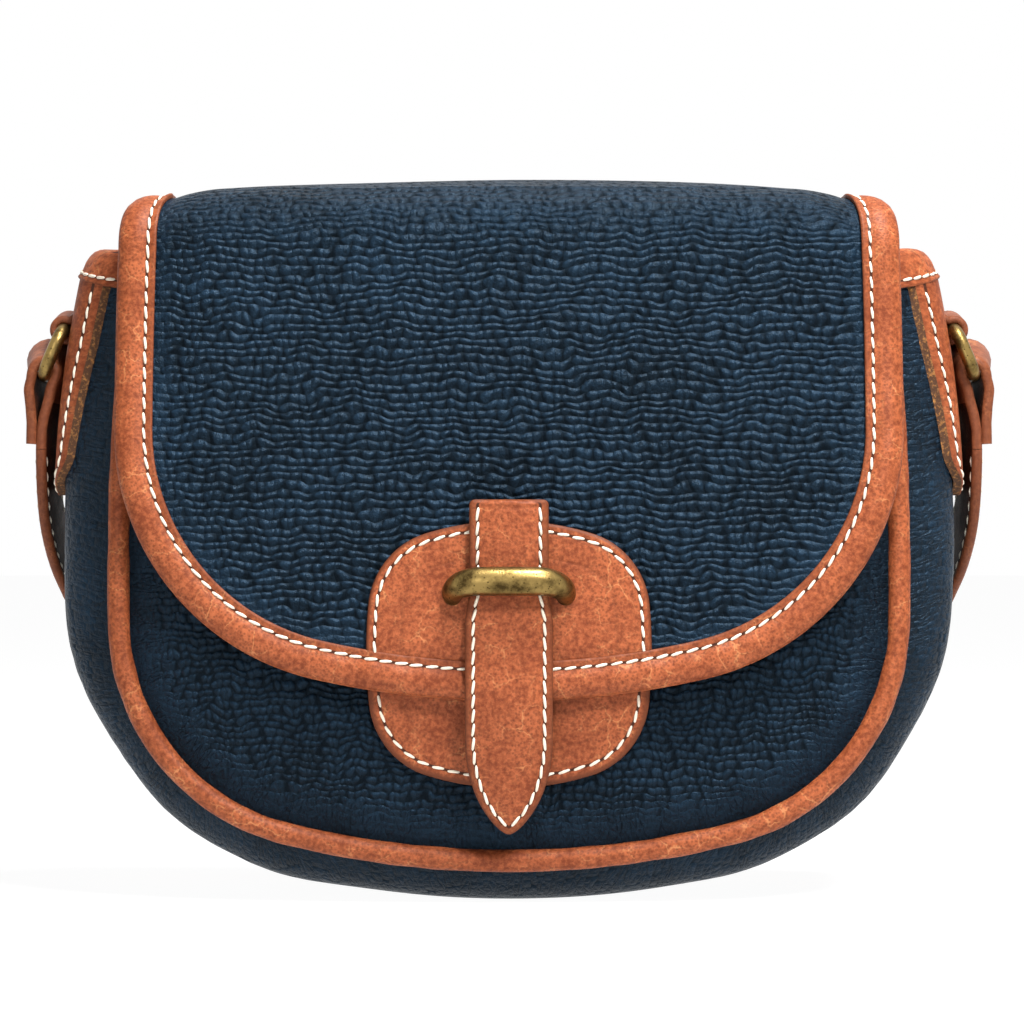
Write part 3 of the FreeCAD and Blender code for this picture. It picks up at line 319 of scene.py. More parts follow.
def path_axes(path, side):
    """Directions at right angles to a path: side less its part along the path, and the normal to both."""
    tangent = unit(np.gradient(path, axis=0))
    side = unit(side - (side * tangent).sum(axis=1, keepdims=True) * tangent)
    return side, np.cross(tangent, side)


def loop_tangent(path):
    """Directions along a closed line whose last point is its first."""
    ring = path[:-1]
    tangent = unit(np.roll(ring, -1, axis=0) - np.roll(ring, 1, axis=0))
    return np.concatenate([tangent, tangent[:1]])


def rounded_rectangle(half_wide, half_tall, corner, count):
    """A closed rectangle about the middle, with quarter circles of count points as its corners."""
    turn = np.linspace(0.0, PI / 2.0, count)
    arc = np.stack([np.cos(turn), np.sin(turn)], axis=-1) * corner
    parts = []
    for quarter, signs in enumerate(((1.0, 1.0), (-1.0, 1.0), (-1.0, -1.0), (1.0, -1.0))):
        angle = quarter * PI / 2.0
        spin = np.array([[math.cos(angle), math.sin(angle)], [-math.sin(angle), math.cos(angle)]])
        parts.append(np.array(signs) * (half_wide - corner, half_tall - corner) + arc @ spin)
    return np.concatenate(parts + [parts[0][:1]])


def resampled(points, places):
    """Points at given lengths along a line of points."""
    along = run_length(points)
    return np.stack([np.interp(places, along, points[:, axis]) for axis in range(points.shape[1])], axis=-1)


def ripple(u, v, size, seed):
    """Smooth random swell of about -1 to 1: nine sine waves about size mm long, in random directions."""
    rng = np.random.default_rng(seed)
    turns = rng.uniform(0.0, 2.0 * PI, 9)
    waves = 2.0 * PI / size * rng.uniform(0.7, 1.4, 9)
    starts = rng.uniform(0.0, 2.0 * PI, 9)
    u = np.asarray(u)[..., None]
    v = np.asarray(v)[..., None]
    return np.sin(waves * (u * np.cos(turns) + v * np.sin(turns)) + starts).sum(axis=-1) / 4.0


# Outlines

def saddle_arcs(size):
    """Centres and radii of a saddle outline's side, corner and bottom arcs.

    The side arc goes through the widest point and the narrower top; the corner arc touches both others, so
    its centre is where circles of the other radii less its own cross."""
    side_radius = (size["rise"] ** 2 + size["narrowing"] ** 2) / (2.0 * size["narrowing"])
    side = np.array([size["half_width"] - side_radius, size["widest"]])
    bottom = np.array([0.0, size["bottom"] + size["bottom_radius"]])
    first = size["bottom_radius"] - size["corner_radius"]
    second = side_radius - size["corner_radius"]
    gap = side - bottom
    apart = np.linalg.norm(gap)
    along = (first ** 2 - second ** 2 + apart ** 2) / (2.0 * apart)
    aside = math.sqrt(first ** 2 - along ** 2)
    middle = bottom + gap * along / apart
    across = np.array([-gap[1], gap[0]]) / apart * aside
    corner = min(middle + across, middle - across, key=lambda point: point[1])
    return side, side_radius, corner, size["corner_radius"], bottom, size["bottom_radius"]


def half_outline(size, top, counts):
    """Right half of a saddle outline, from height top down to the middle of the base."""
    side, side_radius, corner, corner_radius, bottom, bottom_radius = saddle_arcs(size)
    start = math.asin((top - side[1]) / side_radius)
    join = math.atan2(corner[1] - side[1], corner[0] - side[0])
    foot = math.atan2(corner[1] - bottom[1], corner[0] - bottom[0])
    arcs = [(side, side_radius, start, join), (corner, corner_radius, join, foot),
            (bottom, bottom_radius, foot, -PI / 2.0)]
    parts = []
    for (centre, radius, first, last), count in zip(arcs, counts):
        turn = np.linspace(first, last, count, endpoint=False)
        parts.append(centre + radius * np.stack([np.cos(turn), np.sin(turn)], axis=-1))
    parts.append(np.array([[0.0, bottom[1] - bottom_radius]]))
    return np.concatenate(parts)


def half_width_at(size, height):
    """Half width of a saddle outline at heights on its side arc."""
    side, side_radius = saddle_arcs(size)[:2]
    return side[0] + np.sqrt(side_radius ** 2 - (np.asarray(height) - side[1]) ** 2)


def outward(half):
    """Outward normals of a right half outline; the last one points straight down."""
    along = np.gradient(half, axis=0)
    normal = unit(np.stack([-along[:, 1], along[:, 0]], axis=-1))
    normal[-1] = (0.0, -1.0)
    return normal


def both_sides(half):
    """The whole outline from the left top round the base to the right top."""
    return np.concatenate([half * (-1.0, 1.0), half[-2::-1]])


def inset_grid(half, insets, fill):
    """A panel's grid in its own plane: rows down the half outline, columns from the left rim to the right.

    Column k of the rim bands is the outline less inset k along its normal; between the innermost ones the
    columns are straight across. Returns points and each point's distance in from the rim."""
    normal = outward(half)
    rings = half[:, None, :] - insets[None, :, None] * normal[:, None, :]
    rings[-1, :, 0] = 0.0
    share = np.linspace(-1.0, 1.0, fill + 2)[1:-1]
    inner = rings[:, -1, :]
    across = np.stack([inner[:, :1] * share, np.repeat(inner[:, 1:], fill, axis=1)], axis=-1)
    points = np.concatenate([rings * (-1.0, 1.0), across, rings[:, ::-1]], axis=1)
    reach = np.concatenate([insets, np.full(fill, insets[-1]), insets[::-1]])
    extra = np.concatenate([np.zeros(len(insets)), 1.0 - np.abs(share), np.zeros(len(insets))])
    depth = reach[None, :] + extra[None, :] * inner[:, :1]
    return points, depth


# Places on the bag

def on_seam(side, x, z, out):
    """Puts x, z of the front or back seam plane in space, out mm outward of it."""
    x, z, out = np.broadcast_arrays(x, z, out)
    up = z - SEAM_BOTTOM
    y = side * (SEAM_DEPTH - up * LEAN_SIN + out * LEAN_COS)
    return np.stack([x, y, SEAM_BOTTOM + up * LEAN_COS + out * LEAN_SIN], axis=-1)


def seam_y(z):
    """Distance of the seam planes from the middle at a height."""
    return SEAM_DEPTH - (np.asarray(z) - SEAM_BOTTOM) * math.tan(LEAN)


def gusset_swell(inward):
    """Share of the gusset's bulge at a distance in from its seam: 1 - (1 - t) ** 2.2 over 15.4 mm."""
    share = np.clip((np.asarray(inward) - 2.6) / 15.4, 0.0, 1.0)
    return 1.0 - (1.0 - share) ** 2.2


def gusset_x(z, y):
    """Half width of the gusset's outside at a height and depth."""
    seam = half_width_at(SEAM, z)
    return seam + gusset_swell(seam_y(z) - np.abs(y)) * (half_width_at(FULLEST, z) - seam)


def panel_rise(depth, height, reach):
    """How far a panel stands out of its seam plane, depth mm in from its rim.

    It rises evenly by 1 mm over the rim, then by height * (1 - exp(-depth / reach)) more."""
    rim = 3.4
    rise = 1.0 + height * (1.0 - np.exp(-np.maximum(depth - rim, 0.0) / reach))
    return np.where(depth < rim, depth / rim, rise)


def front_pillow(depth):
    """Rise of the front panel."""
    return panel_rise(depth, 8.8, 13.5)


def back_pillow(depth):
    """Rise of the back panel, a little flatter."""
    return panel_rise(depth, 6.4, 13.0)


def on_flap(x, s, out):
    """Puts a point of the flap in space: x across, s along its path, out mm from the leather's middle.

    s is negative down the front leg, then runs through the front bend, over the flat top, through the back
    bend and down the rear leg. Across x the leather is an arch, x squared over twice its radius, that falls
    away further toward the sides of the top and the front bend."""
    x, s, out = np.broadcast_arrays(x, s, out)
    front_turn = np.clip(s, 0.0, FRONT_ARC) / FRONT_BEND
    top = np.clip(s - FRONT_ARC, 0.0, TOP_RUN)
    back_turn = np.clip(s - FRONT_ARC - TOP_RUN, 0.0, BACK_ARC) / BACK_BEND
    leg = np.minimum(s, 0.0)
    rear = np.maximum(s - FRONT_ARC - TOP_RUN - BACK_ARC, 0.0)
    behind = s > FRONT_ARC + TOP_RUN
    y = np.where(behind, BACK_CENTRE[0] + BACK_BEND * np.sin(back_turn) + rear * LEAN_SIN,
                 FRONT_CENTRE[0] - FRONT_BEND * np.cos(LEAN + front_turn) + top + leg * LEAN_SIN)
    z = np.where(behind, BACK_CENTRE[1] + BACK_BEND * np.cos(back_turn) - rear * LEAN_COS,
                 FRONT_CENTRE[1] + FRONT_BEND * np.sin(LEAN + front_turn) + leg * LEAN_COS)
    turn = LEAN + front_turn + back_turn
    ease = eased((s + 70.0) / 50.0) * (1.0 - eased((s - FRONT_ARC - TOP_RUN) / BACK_ARC))
    fall = 0.6 + 0.9 * (x / 80.0) ** 2 + 2.3 * eased((np.abs(x) - 76.0) / 22.0)
    lift = out - x ** 2 / (2.0 * ARCH_RADIUS) - ease * fall
    return np.stack([x, y - lift * np.cos(turn), z + lift * np.sin(turn)], axis=-1)


def flap_half():
    """Right half of the flap's front piece, flat in x, s: from the middle of the top to its lowest point."""
    top_s = np.linspace(FLAP_MIDDLE, 0.0, 34, endpoint=False)
    leg_x = half_width_at(FLAP, FLAP_LEG_TOP)
    ease = 1.0 - np.clip(top_s / FRONT_ARC, 0.0, 1.0) ** 2.4
    top_x = FLAP_TOP_HALF_WIDTH + (leg_x - FLAP_TOP_HALF_WIDTH) * ease
    leg = half_outline(FLAP, FLAP_LEG_TOP, (52, 64, 40))
    leg_s = (leg[:, 1] - FLAP_LEG_TOP) / LEAN_COS
    return np.concatenate([np.stack([top_x, top_s], axis=-1), np.stack([leg[:, 0], leg_s], axis=-1)])


# Materials

# Node settings that many materials share
FLAT_NOISE = {"noise_dimensions": "2D"}
CELL_EDGES = {"voronoi_dimensions": "2D", "feature": "DISTANCE_TO_EDGE"}
SMOOTH_STEP = {"interpolation_type": "SMOOTHSTEP"}
COLOUR_MIX = {"data_type": "RGBA"}
TIMES = {"operation": "MULTIPLY"}
TIMES_PLUS = {"operation": "MULTIPLY_ADD"}
POWER = {"operation": "POWER"}
LARGER = {"operation": "MAXIMUM"}


def add_node(tree, kind, settings=None, inputs=None):
    """Adds a node, sets its settings, and links or sets its inputs."""
    node = tree.nodes.new(kind)
    for name, value in (settings or {}).items():
        setattr(node, name, value)
    for name, value in (inputs or {}).items():
        if isinstance(value, bpy.types.NodeSocket):
            tree.links.new(value, node.inputs[name])
        else:
            node.inputs[name].default_value = value
    return node


def new_material(name):
    """An empty node material and its tree."""
    material = bpy.data.materials.new(name)
    material.use_nodes = True
    material.node_tree.nodes.clear()
    return material, material.node_tree


def finish_material(tree, inputs):
    """Adds the shader and the output."""
    shader = add_node(tree, "ShaderNodeBsdfPrincipled", inputs=inputs)
    add_node(tree, "ShaderNodeOutputMaterial", inputs={"Surface": shader.outputs[0]})


def colours():
    """The colours the user set."""
    return bpy.context.scene.handbag_colours


def sizes():
    """The sizes the user set."""
    return bpy.context.scene.handbag_sizes


def navy_leather():
    """Pebbled cowhide: soft pebbles in wavering rows, painted near black in the creases as shade, waxy and
    blue on top.

    Rows are the whole part of v / height; along each row lie random points. With p the share of the way up
    a row, a pebble sinks as |2 p ** 1.4 - 1| ** 1.8, and as the square of the distance from its point.
    Where pull is high, strands across the nearest seam take over; painted shade darkens the hide beside the
    piping."""
    found = bpy.data.materials.get("Navy pebbled cowhide")
    if found:
        return found
    material, tree = new_material("Navy pebbled cowhide")
    flat = add_node(tree, "ShaderNodeUVMap", {"uv_map": "Flat"}).outputs[0]
    grain = add_node(tree, "ShaderNodeAttribute", {"attribute_name": "grain"}).outputs["Fac"]
    pull = add_node(tree, "ShaderNodeAttribute", {"attribute_name": "pull"}).outputs["Fac"]
    # Wandering of the rows over about 15 mm, and of the pebbles in a row over about 4 mm
    wander = add_node(tree, "ShaderNodeTexNoise", FLAT_NOISE, {
        "Vector": flat, "Scale": PER_MM / 15.0, "Detail": 1.0}).outputs["Color"]
    waver = add_node(tree, "ShaderNodeTexNoise", FLAT_NOISE, {
        "Vector": flat, "Scale": PER_MM / 4.4, "Detail": 0.0}).outputs["Color"]
    place = add_node(tree, "ShaderNodeVectorMath", TIMES, {
        0: flat, 1: (1.0 / sizes().pebble_width, 1.0 / sizes().pebble_height, 0.0)}).outputs[0]
    rows = add_node(tree, "ShaderNodeVectorMath", TIMES_PLUS, {
        0: wander, 1: (1.2, 2.2, 0.0), 2: place}).outputs[0]
    cells = add_node(tree, "ShaderNodeVectorMath", TIMES_PLUS, {
        0: waver, 1: (0.5, 0.7, 0.0), 2: rows}).outputs[0]
    cell = add_node(tree, "ShaderNodeSeparateXYZ", None, {0: cells})
    row = add_node(tree, "ShaderNodeMath", {"operation": "FLOOR"}, {0: cell.outputs[1]}).outputs[0]
    part = add_node(tree, "ShaderNodeMath", {"operation": "FRACT"}, {0: cell.outputs[1]}).outputs[0]
    walk = add_node(tree, "ShaderNodeMath", TIMES_PLUS, {
        0: row, 1: 17.37, 2: cell.outputs[0]}).outputs[0]
    along = add_node(tree, "ShaderNodeTexVoronoi", {"voronoi_dimensions": "1D", "feature": "F1"}, {
        "W": walk, "Scale": 1.0, "Randomness": 0.75})
    own = along.outputs["Color"]
    # A pebble's crest lies above its middle, so its upper rim is steep and catches the light
    crest = add_node(tree, "ShaderNodeMath", POWER, {0: part, 1: 1.4}).outputs[0]
    rise = add_node(tree, "ShaderNodeMath", TIMES_PLUS, {0: crest, 1: 2.0, 2: -1.0}).outputs[0]
    slope = add_node(tree, "ShaderNodeMath", {"operation": "ABSOLUTE"}, {0: rise}).outputs[0]
    tall = add_node(tree, "ShaderNodeMath", POWER, {0: slope, 1: 1.8}).outputs[0]
    broad = add_node(tree, "ShaderNodeMath", POWER, {0: along.outputs["Distance"], 1: 2.0}).outputs[0]
    sides = add_node(tree, "ShaderNodeMath", TIMES, {0: broad, 1: 3.4}).outputs[0]
    low = add_node(tree, "ShaderNodeMath", {"operation": "ADD"}, {0: tall, 1: sides}).outputs[0]
    # Creases are broken, over about 7 mm
    fade = add_node(tree, "ShaderNodeTexNoise", FLAT_NOISE, {
        "Vector": flat, "Scale": PER_MM / 7.0, "Detail": 2.0}).outputs["Fac"]
    deep = add_node(tree, "ShaderNodeMapRange", None, {
        "Value": fade, "From Min": 0.32, "From Max": 0.56, "To Min": 0.78, "To Max": 1.0}).outputs[0]
    dent = add_node(tree, "ShaderNodeMath", TIMES, {0: low, 1: deep}).outputs[0]
    coarse = add_node(tree, "ShaderNodeMath", TIMES, {0: dent, 1: grain}).outputs[0]
    # Strands across the seam, about 1.7 mm wide and 5 mm long, fainter here and there
    around = add_node(tree, "ShaderNodeUVMap", {"uv_map": "Around"}).outputs[0]
    strand = add_node(tree, "ShaderNodeMapping", None, {
        "Vector": around, "Scale": (PER_MM / 7.0, PER_MM / 16.0, 1.0)}).outputs[0]
    sway = add_node(tree, "ShaderNodeTexNoise", FLAT_NOISE, {
        "Vector": strand, "Scale": 1.0, "Detail": 3.0}).outputs["Color"]
    sways = add_node(tree, "ShaderNodeSeparateXYZ", None, {0: sway})
    bundle = add_node(tree, "ShaderNodeVectorMath", TIMES, {
        0: around, 1: (PER_MM / 1.7, PER_MM / 5.0, 0.0)}).outputs[0]
    bent = add_node(tree, "ShaderNodeVectorMath", TIMES_PLUS, {
        0: sway, 1: (3.0, 1.2, 0.0), 2: bundle}).outputs[0]
    gap = add_node(tree, "ShaderNodeTexVoronoi", CELL_EDGES, {
        "Vector": bent, "Scale": 1.0, "Randomness": 0.9}).outputs["Distance"]
    cut = add_node(tree, "ShaderNodeMapRange", SMOOTH_STEP, {
        "Value": gap, "From Min": -0.04, "From Max": 0.26, "To Min": 1.0, "To Max": 0.0}).outputs[0]
    some = add_node(tree, "ShaderNodeMapRange", None, {
        "Value": sways.outputs[1], "From Min": 0.36, "From Max": 0.56,
        "To Min": 0.5, "To Max": 1.0}).outputs[0]
    broken = add_node(tree, "ShaderNodeMath", TIMES, {0: cut, 1: some}).outputs[0]
    across = add_node(tree, "ShaderNodeMath", TIMES, {0: broken, 1: pull}).outputs[0]
    sunk = add_node(tree, "ShaderNodeMath", LARGER, {0: coarse, 1: across}).outputs[0]
    # Fine wrinkles inside the pebbles, about 1.3 mm
    fine = add_node(tree, "ShaderNodeTexNoise", FLAT_NOISE, {
        "Vector": flat, "Scale": PER_MM / 1.3, "Detail": 3.0, "Roughness": 0.7}).outputs["Fac"]
    height = add_node(tree, "ShaderNodeMath", TIMES_PLUS, {0: fine, 1: 0.7, 2: 1.0}).outputs[0]
    relief = add_node(tree, "ShaderNodeMath", {"operation": "SUBTRACT"}, {0: height, 1: sunk}).outputs[0]
    bump = add_node(tree, "ShaderNodeBump", None, {"Height": relief, "Strength": 1.0, "Distance": 0.00062})
    # Painted shade: the creases are painted darker, toward the crease colour
    painted_crease_shade = add_node(tree, "ShaderNodeMapRange", SMOOTH_STEP, {
        "Value": sunk, "From Min": 0.5, "From Max": 1.2, "To Min": 0.0, "To Max": 0.75}).outputs[0]
    body = add_node(tree, "ShaderNodeMix", COLOUR_MIX, {
        "Factor": painted_crease_shade, "A": list(colours().navy), "B": list(colours().navy_crease_shade)})
    cloud = add_node(tree, "ShaderNodeTexNoise", FLAT_NOISE, {
        "Vector": flat, "Scale": PER_MM / 25.0, "Detail": 3.0}).outputs["Fac"]
    tone = add_node(tree, "ShaderNodeMath", TIMES_PLUS, {0: fine, 1: 1.6, 2: cloud}).outputs[0]
    mottle = add_node(tree, "ShaderNodeVectorMath", {"operation": "DOT_PRODUCT"}, {
        0: own, 1: (0.3, 0.0, 0.0)}).outputs["Value"]
    tone = add_node(tree, "ShaderNodeMath", {"operation": "ADD"}, {0: tone, 1: mottle}).outputs[0]
    light = add_node(tree, "ShaderNodeMapRange", None, {
        "Value": tone, "From Min": 1.0, "From Max": 1.9, "To Min": 0.3, "To Max": 1.8}).outputs[0]
    # Painted highlight and shade: each pebble is painted paler toward its upper rim and darker on its lower
    # side, as light from above shows it
    shade = add_node(tree, "ShaderNodeMath", TIMES, {0: rise, 1: grain}).outputs[0]
    painted_rim_light = add_node(tree, "ShaderNodeMapRange", None, {
        "Value": shade, "From Min": -0.7, "From Max": 0.75, "To Min": 0.7, "To Max": 1.6}).outputs[0]
    # Painted shade: the hide is painted darker beside the piping, down to 0.22 of its colour at the seam
    painted_valley_shade = add_node(tree, "ShaderNodeAttribute", {"attribute_name": "painted_valley_shade"}).outputs["Fac"]
    dim = add_node(tree, "ShaderNodeMapRange", None, {
        "Value": painted_valley_shade, "To Min": 1.0, "To Max": 0.22}).outputs[0]
    lit = add_node(tree, "ShaderNodeMath", TIMES, {0: light, 1: dim}).outputs[0]
    shown = add_node(tree, "ShaderNodeMath", TIMES, {0: lit, 1: painted_rim_light}).outputs[0]
    colour = add_node(tree, "ShaderNodeVectorMath", {"operation": "SCALE"}, {
        0: body.outputs["Result"], "Scale": shown}).outputs[0]
    rough = add_node(tree, "ShaderNodeMapRange", None, {
        "Value": painted_crease_shade, "To Min": 0.38, "To Max": 0.8}).outputs[0]
    finish_material(tree, {"Base Color": colour, "Roughness": rough, "Normal": bump.outputs[0],
                           "Specular IOR Level": 0.2, "Specular Tint": linear("a9d2f5")})
    return material


def oiled_leather(name, main, dark, pale, gloss=0.16):
    """Vegetable-tanned cowhide, oiled: clouded colour, fine pores, pale pull-up creases, dark cut edges."""
    found = bpy.data.materials.get(name)
    if found:
        return found
    material, tree = new_material(name)
    flat = add_node(tree, "ShaderNodeUVMap", {"uv_map": "Flat"}).outputs[0]
    edge = add_node(tree, "ShaderNodeAttribute", {"attribute_name": "edge"}).outputs["Fac"]
    seam = add_node(tree, "ShaderNodeAttribute", {"attribute_name": "seam"}).outputs["Fac"]
    cloud = add_node(tree, "ShaderNodeTexNoise", FLAT_NOISE, {
        "Vector": flat, "Scale": PER_MM / 11.0, "Detail": 6.0, "Roughness": 0.62}).outputs["Fac"]
    grain = add_node(tree, "ShaderNodeTexNoise", FLAT_NOISE, {
        "Vector": flat, "Scale": PER_MM / 1.5, "Detail": 5.0, "Roughness": 0.7}).outputs["Fac"]
    # Pores about 1 mm apart, only where the hide is open
    pores = add_node(tree, "ShaderNodeTexVoronoi", {"voronoi_dimensions": "2D", "feature": "F1"}, {
        "Vector": flat, "Scale": PER_MM / 1.1, "Randomness": 1.0}).outputs["Distance"]
    hole = add_node(tree, "ShaderNodeMapRange", SMOOTH_STEP, {
        "Value": pores, "From Min": 0.1, "From Max": 0.42}).outputs[0]
    open_hide = add_node(tree, "ShaderNodeMapRange", None, {
        "Value": cloud, "From Min": 0.36, "From Max": 0.56, "To Min": 1.0, "To Max": 0.0}).outputs[0]
    pored = add_node(tree, "ShaderNodeMath", LARGER, {0: hole, 1: open_hide}).outputs[0]
    # Creases about 7 mm apart that wander, broken up
    wander = add_node(tree, "ShaderNodeTexNoise", FLAT_NOISE, {
        "Vector": flat, "Scale": PER_MM / 5.0, "Detail": 3.0}).outputs["Color"]
    push = add_node(tree, "ShaderNodeVectorMath", TIMES_PLUS, {
        0: wander, 1: (0.006, 0.006, 0.0), 2: flat}).outputs[0]
    crease = add_node(tree, "ShaderNodeTexVoronoi", CELL_EDGES, {
        "Vector": push, "Scale": PER_MM / 7.0, "Randomness": 1.0}).outputs["Distance"]
    line = add_node(tree, "ShaderNodeMapRange", SMOOTH_STEP, {
        "Value": crease, "From Min": 0.0, "From Max": 0.05, "To Min": 1.0, "To Max": 0.0}).outputs[0]
    where = add_node(tree, "ShaderNodeMapRange", None, {
        "Value": cloud, "From Min": 0.48, "From Max": 0.62, "To Min": 0.0, "To Max": 0.7}).outputs[0]
    pull = add_node(tree, "ShaderNodeMath", TIMES, {0: line, 1: where}).outputs[0]
    mixed = add_node(tree, "ShaderNodeMath", TIMES_PLUS, {0: cloud, 1: 0.6, 2: grain}).outputs[0]
    tone = add_node(tree, "ShaderNodeMapRange", None, {
        "Value": mixed, "From Min": 0.62, "From Max": 0.98}).outputs[0]
    body = add_node(tree, "ShaderNodeMix", COLOUR_MIX, {"Factor": tone, "A": dark, "B": main})
    pulled = add_node(tree, "ShaderNodeMix", COLOUR_MIX, {
        "Factor": pull, "A": body.outputs["Result"], "B": pale})
    speck = add_node(tree, "ShaderNodeMapRange", None, {
        "Value": pored, "To Min": 0.55, "To Max": 0.0}).outputs[0]
    specked = add_node(tree, "ShaderNodeMix", COLOUR_MIX, {
        "Factor": speck, "A": pulled.outputs["Result"], "B": list(colours().burnished)})
    # The stitch line is pressed in, and painted dark over about 1 mm as shade in the stitch holes and the
    # pressed line
    away = add_node(tree, "ShaderNodeMath", {"operation": "ABSOLUTE"}, {0: seam}).outputs[0]
    stitch_line_shade = add_node(tree, "ShaderNodeMapRange", SMOOTH_STEP, {
        "Value": away, "From Min": 0.2, "From Max": 0.6, "To Min": 1.0, "To Max": 0.0}).outputs[0]
    sewn = add_node(tree, "ShaderNodeMix", COLOUR_MIX, {
        "Factor": stitch_line_shade, "A": specked.outputs["Result"], "B": linear("3a1c0f")})
    edged = add_node(tree, "ShaderNodeMix", COLOUR_MIX, {
        "Factor": edge, "A": sewn.outputs["Result"], "B": list(colours().burnished)})
    rise = add_node(tree, "ShaderNodeMath", TIMES_PLUS, {0: pored, 1: 0.5, 2: grain}).outputs[0]
    low = add_node(tree, "ShaderNodeMath", TIMES_PLUS, {0: line, 1: -0.35, 2: rise}).outputs[0]
    bump = add_node(tree, "ShaderNodeBump", None, {"Height": low, "Strength": 0.5, "Distance": 0.00013})
    rough = add_node(tree, "ShaderNodeMapRange", None, {
        "Value": cloud, "From Min": 0.3, "From Max": 0.7, "To Min": 0.56, "To Max": 0.42}).outputs[0]
    finish_material(tree, {"Base Color": edged.outputs["Result"], "Roughness": rough,
                           "Normal": bump.outputs[0], "Specular IOR Level": gloss})
    return material


def tan_leather():
    """Oiled tan cowhide."""
    return oiled_leather("Oiled tan cowhide", list(colours().tan), list(colours().tan_dark),
                         list(colours().tan_pale))


def brown_leather():
    """Oiled brown cowhide of the strap."""
    return oiled_leather("Oiled brown cowhide", list(colours().brown), linear("6b3a25"), linear("a9683f"))


def dark_leather():
    """Dark flesh side of the strap: nearly no gloss, so it stays brown where it is seen at a slant."""
    return oiled_leather("Dark strap back", list(colours().brown_dark), linear("2a1812"), linear("5a3a2c"),
                         gloss=0.02)


def fibre_edge(name, main, pale, size):
    """A cut leather edge: layers of fibre, matt, with pale specks of the given size in mm."""
    found = bpy.data.materials.get(name)
    if found:
        return found
    material, tree = new_material(name)
    place = add_node(tree, "ShaderNodeTexCoord").outputs["Object"]
    fibre = add_node(tree, "ShaderNodeTexNoise", None, {
        "Vector": place, "Scale": PER_MM / size, "Detail": 5.0, "Roughness": 0.7}).outputs["Fac"]
    speck = add_node(tree, "ShaderNodeMapRange", None, {
        "Value": fibre, "From Min": 0.5, "From Max": 0.68}).outputs[0]
    colour = add_node(tree, "ShaderNodeMix", COLOUR_MIX, {"Factor": speck, "A": main, "B": pale})
    bump = add_node(tree, "ShaderNodeBump", None, {"Height": fibre, "Strength": 0.9, "Distance": 0.0004})
    finish_material(tree, {"Base Color": colour.outputs["Result"], "Roughness": 0.72,
                           "Normal": bump.outputs[0], "Specular IOR Level": 0.3})
    return material


def burnished_edge():
    """Burnished edge of a tan piece: smooth and dark."""
    return fibre_edge("Burnished leather edge", list(colours().burnished), linear("9a5732"), 1.6)


def raw_edge():
    """Raw edge of the anchors: dark fibre with golden specks."""
    return fibre_edge("Raw leather edge", list(colours().raw), list(colours().raw_pale), 1.1)


def suede():
    """Flesh side of the navy hide: a short soft nap."""
    found = bpy.data.materials.get("Navy suede")
    if found:
        return found
    material, tree = new_material("Navy suede")
    place = add_node(tree, "ShaderNodeTexCoord").outputs["Object"]
    nap = add_node(tree, "ShaderNodeTexNoise", None, {
        "Vector": place, "Scale": PER_MM / 1.4, "Detail": 5.0, "Roughness": 0.7}).outputs["Fac"]
    cloud = add_node(tree, "ShaderNodeTexNoise", None, {
        "Vector": place, "Scale": PER_MM / 16.0, "Detail": 3.0}).outputs["Fac"]
    mixed = add_node(tree, "ShaderNodeMath", TIMES_PLUS, {0: nap, 1: 0.5, 2: cloud}).outputs[0]
    tone = add_node(tree, "ShaderNodeMapRange", None, {
        "Value": mixed, "From Min": 0.55, "From Max": 0.95}).outputs[0]
    colour = add_node(tree, "ShaderNodeMix", COLOUR_MIX, {
        "Factor": tone, "A": linear("1c2430"), "B": list(colours().suede)})
    bump = add_node(tree, "ShaderNodeBump", None, {"Height": nap, "Strength": 0.5, "Distance": 0.0003})
    finish_material(tree, {"Base Color": colour.outputs["Result"], "Roughness": 0.9,
                           "Normal": bump.outputs[0], "Specular IOR Level": 0.2, "Sheen Weight": 0.25})
    return material


def antique_brass():
    """Antique brass: cast, tumbled and darkened, then rubbed bright, with small pits."""
    found = bpy.data.materials.get("Antique brass")
    if found:
        return found
    material, tree = new_material("Antique brass")
    place = add_node(tree, "ShaderNodeTexCoord").outputs["Object"]
    patch = add_node(tree, "ShaderNodeTexNoise", None, {
        "Vector": place, "Scale": PER_MM / 5.0, "Detail": 6.0, "Roughness": 0.65}).outputs["Fac"]
    pits = add_node(tree, "ShaderNodeTexVoronoi", {"feature": "F1"}, {
        "Vector": place, "Scale": PER_MM / 1.3, "Randomness": 1.0}).outputs["Distance"]
    pit = add_node(tree, "ShaderNodeMapRange", SMOOTH_STEP, {
        "Value": pits, "From Min": 0.06, "From Max": 0.24}).outputs[0]
    worn = add_node(tree, "ShaderNodeMapRange", None, {
        "Value": patch, "From Min": 0.36, "From Max": 0.56}).outputs[0]
    clean = add_node(tree, "ShaderNodeMath", TIMES, {0: worn, 1: pit}).outputs[0]
    colour = add_node(tree, "ShaderNodeMix", COLOUR_MIX, {
        "Factor": clean, "A": list(colours().brass_dark), "B": list(colours().brass)})
    rough = add_node(tree, "ShaderNodeMapRange", None, {
        "Value": clean, "To Min": 0.52, "To Max": 0.3}).outputs[0]
    bump = add_node(tree, "ShaderNodeBump", None, {"Height": clean, "Strength": 0.35, "Distance": 0.0001})
    finish_material(tree, {"Base Color": colour.outputs["Result"], "Metallic": 1.0, "Roughness": rough,
                           "Normal": bump.outputs[0]})
    return material


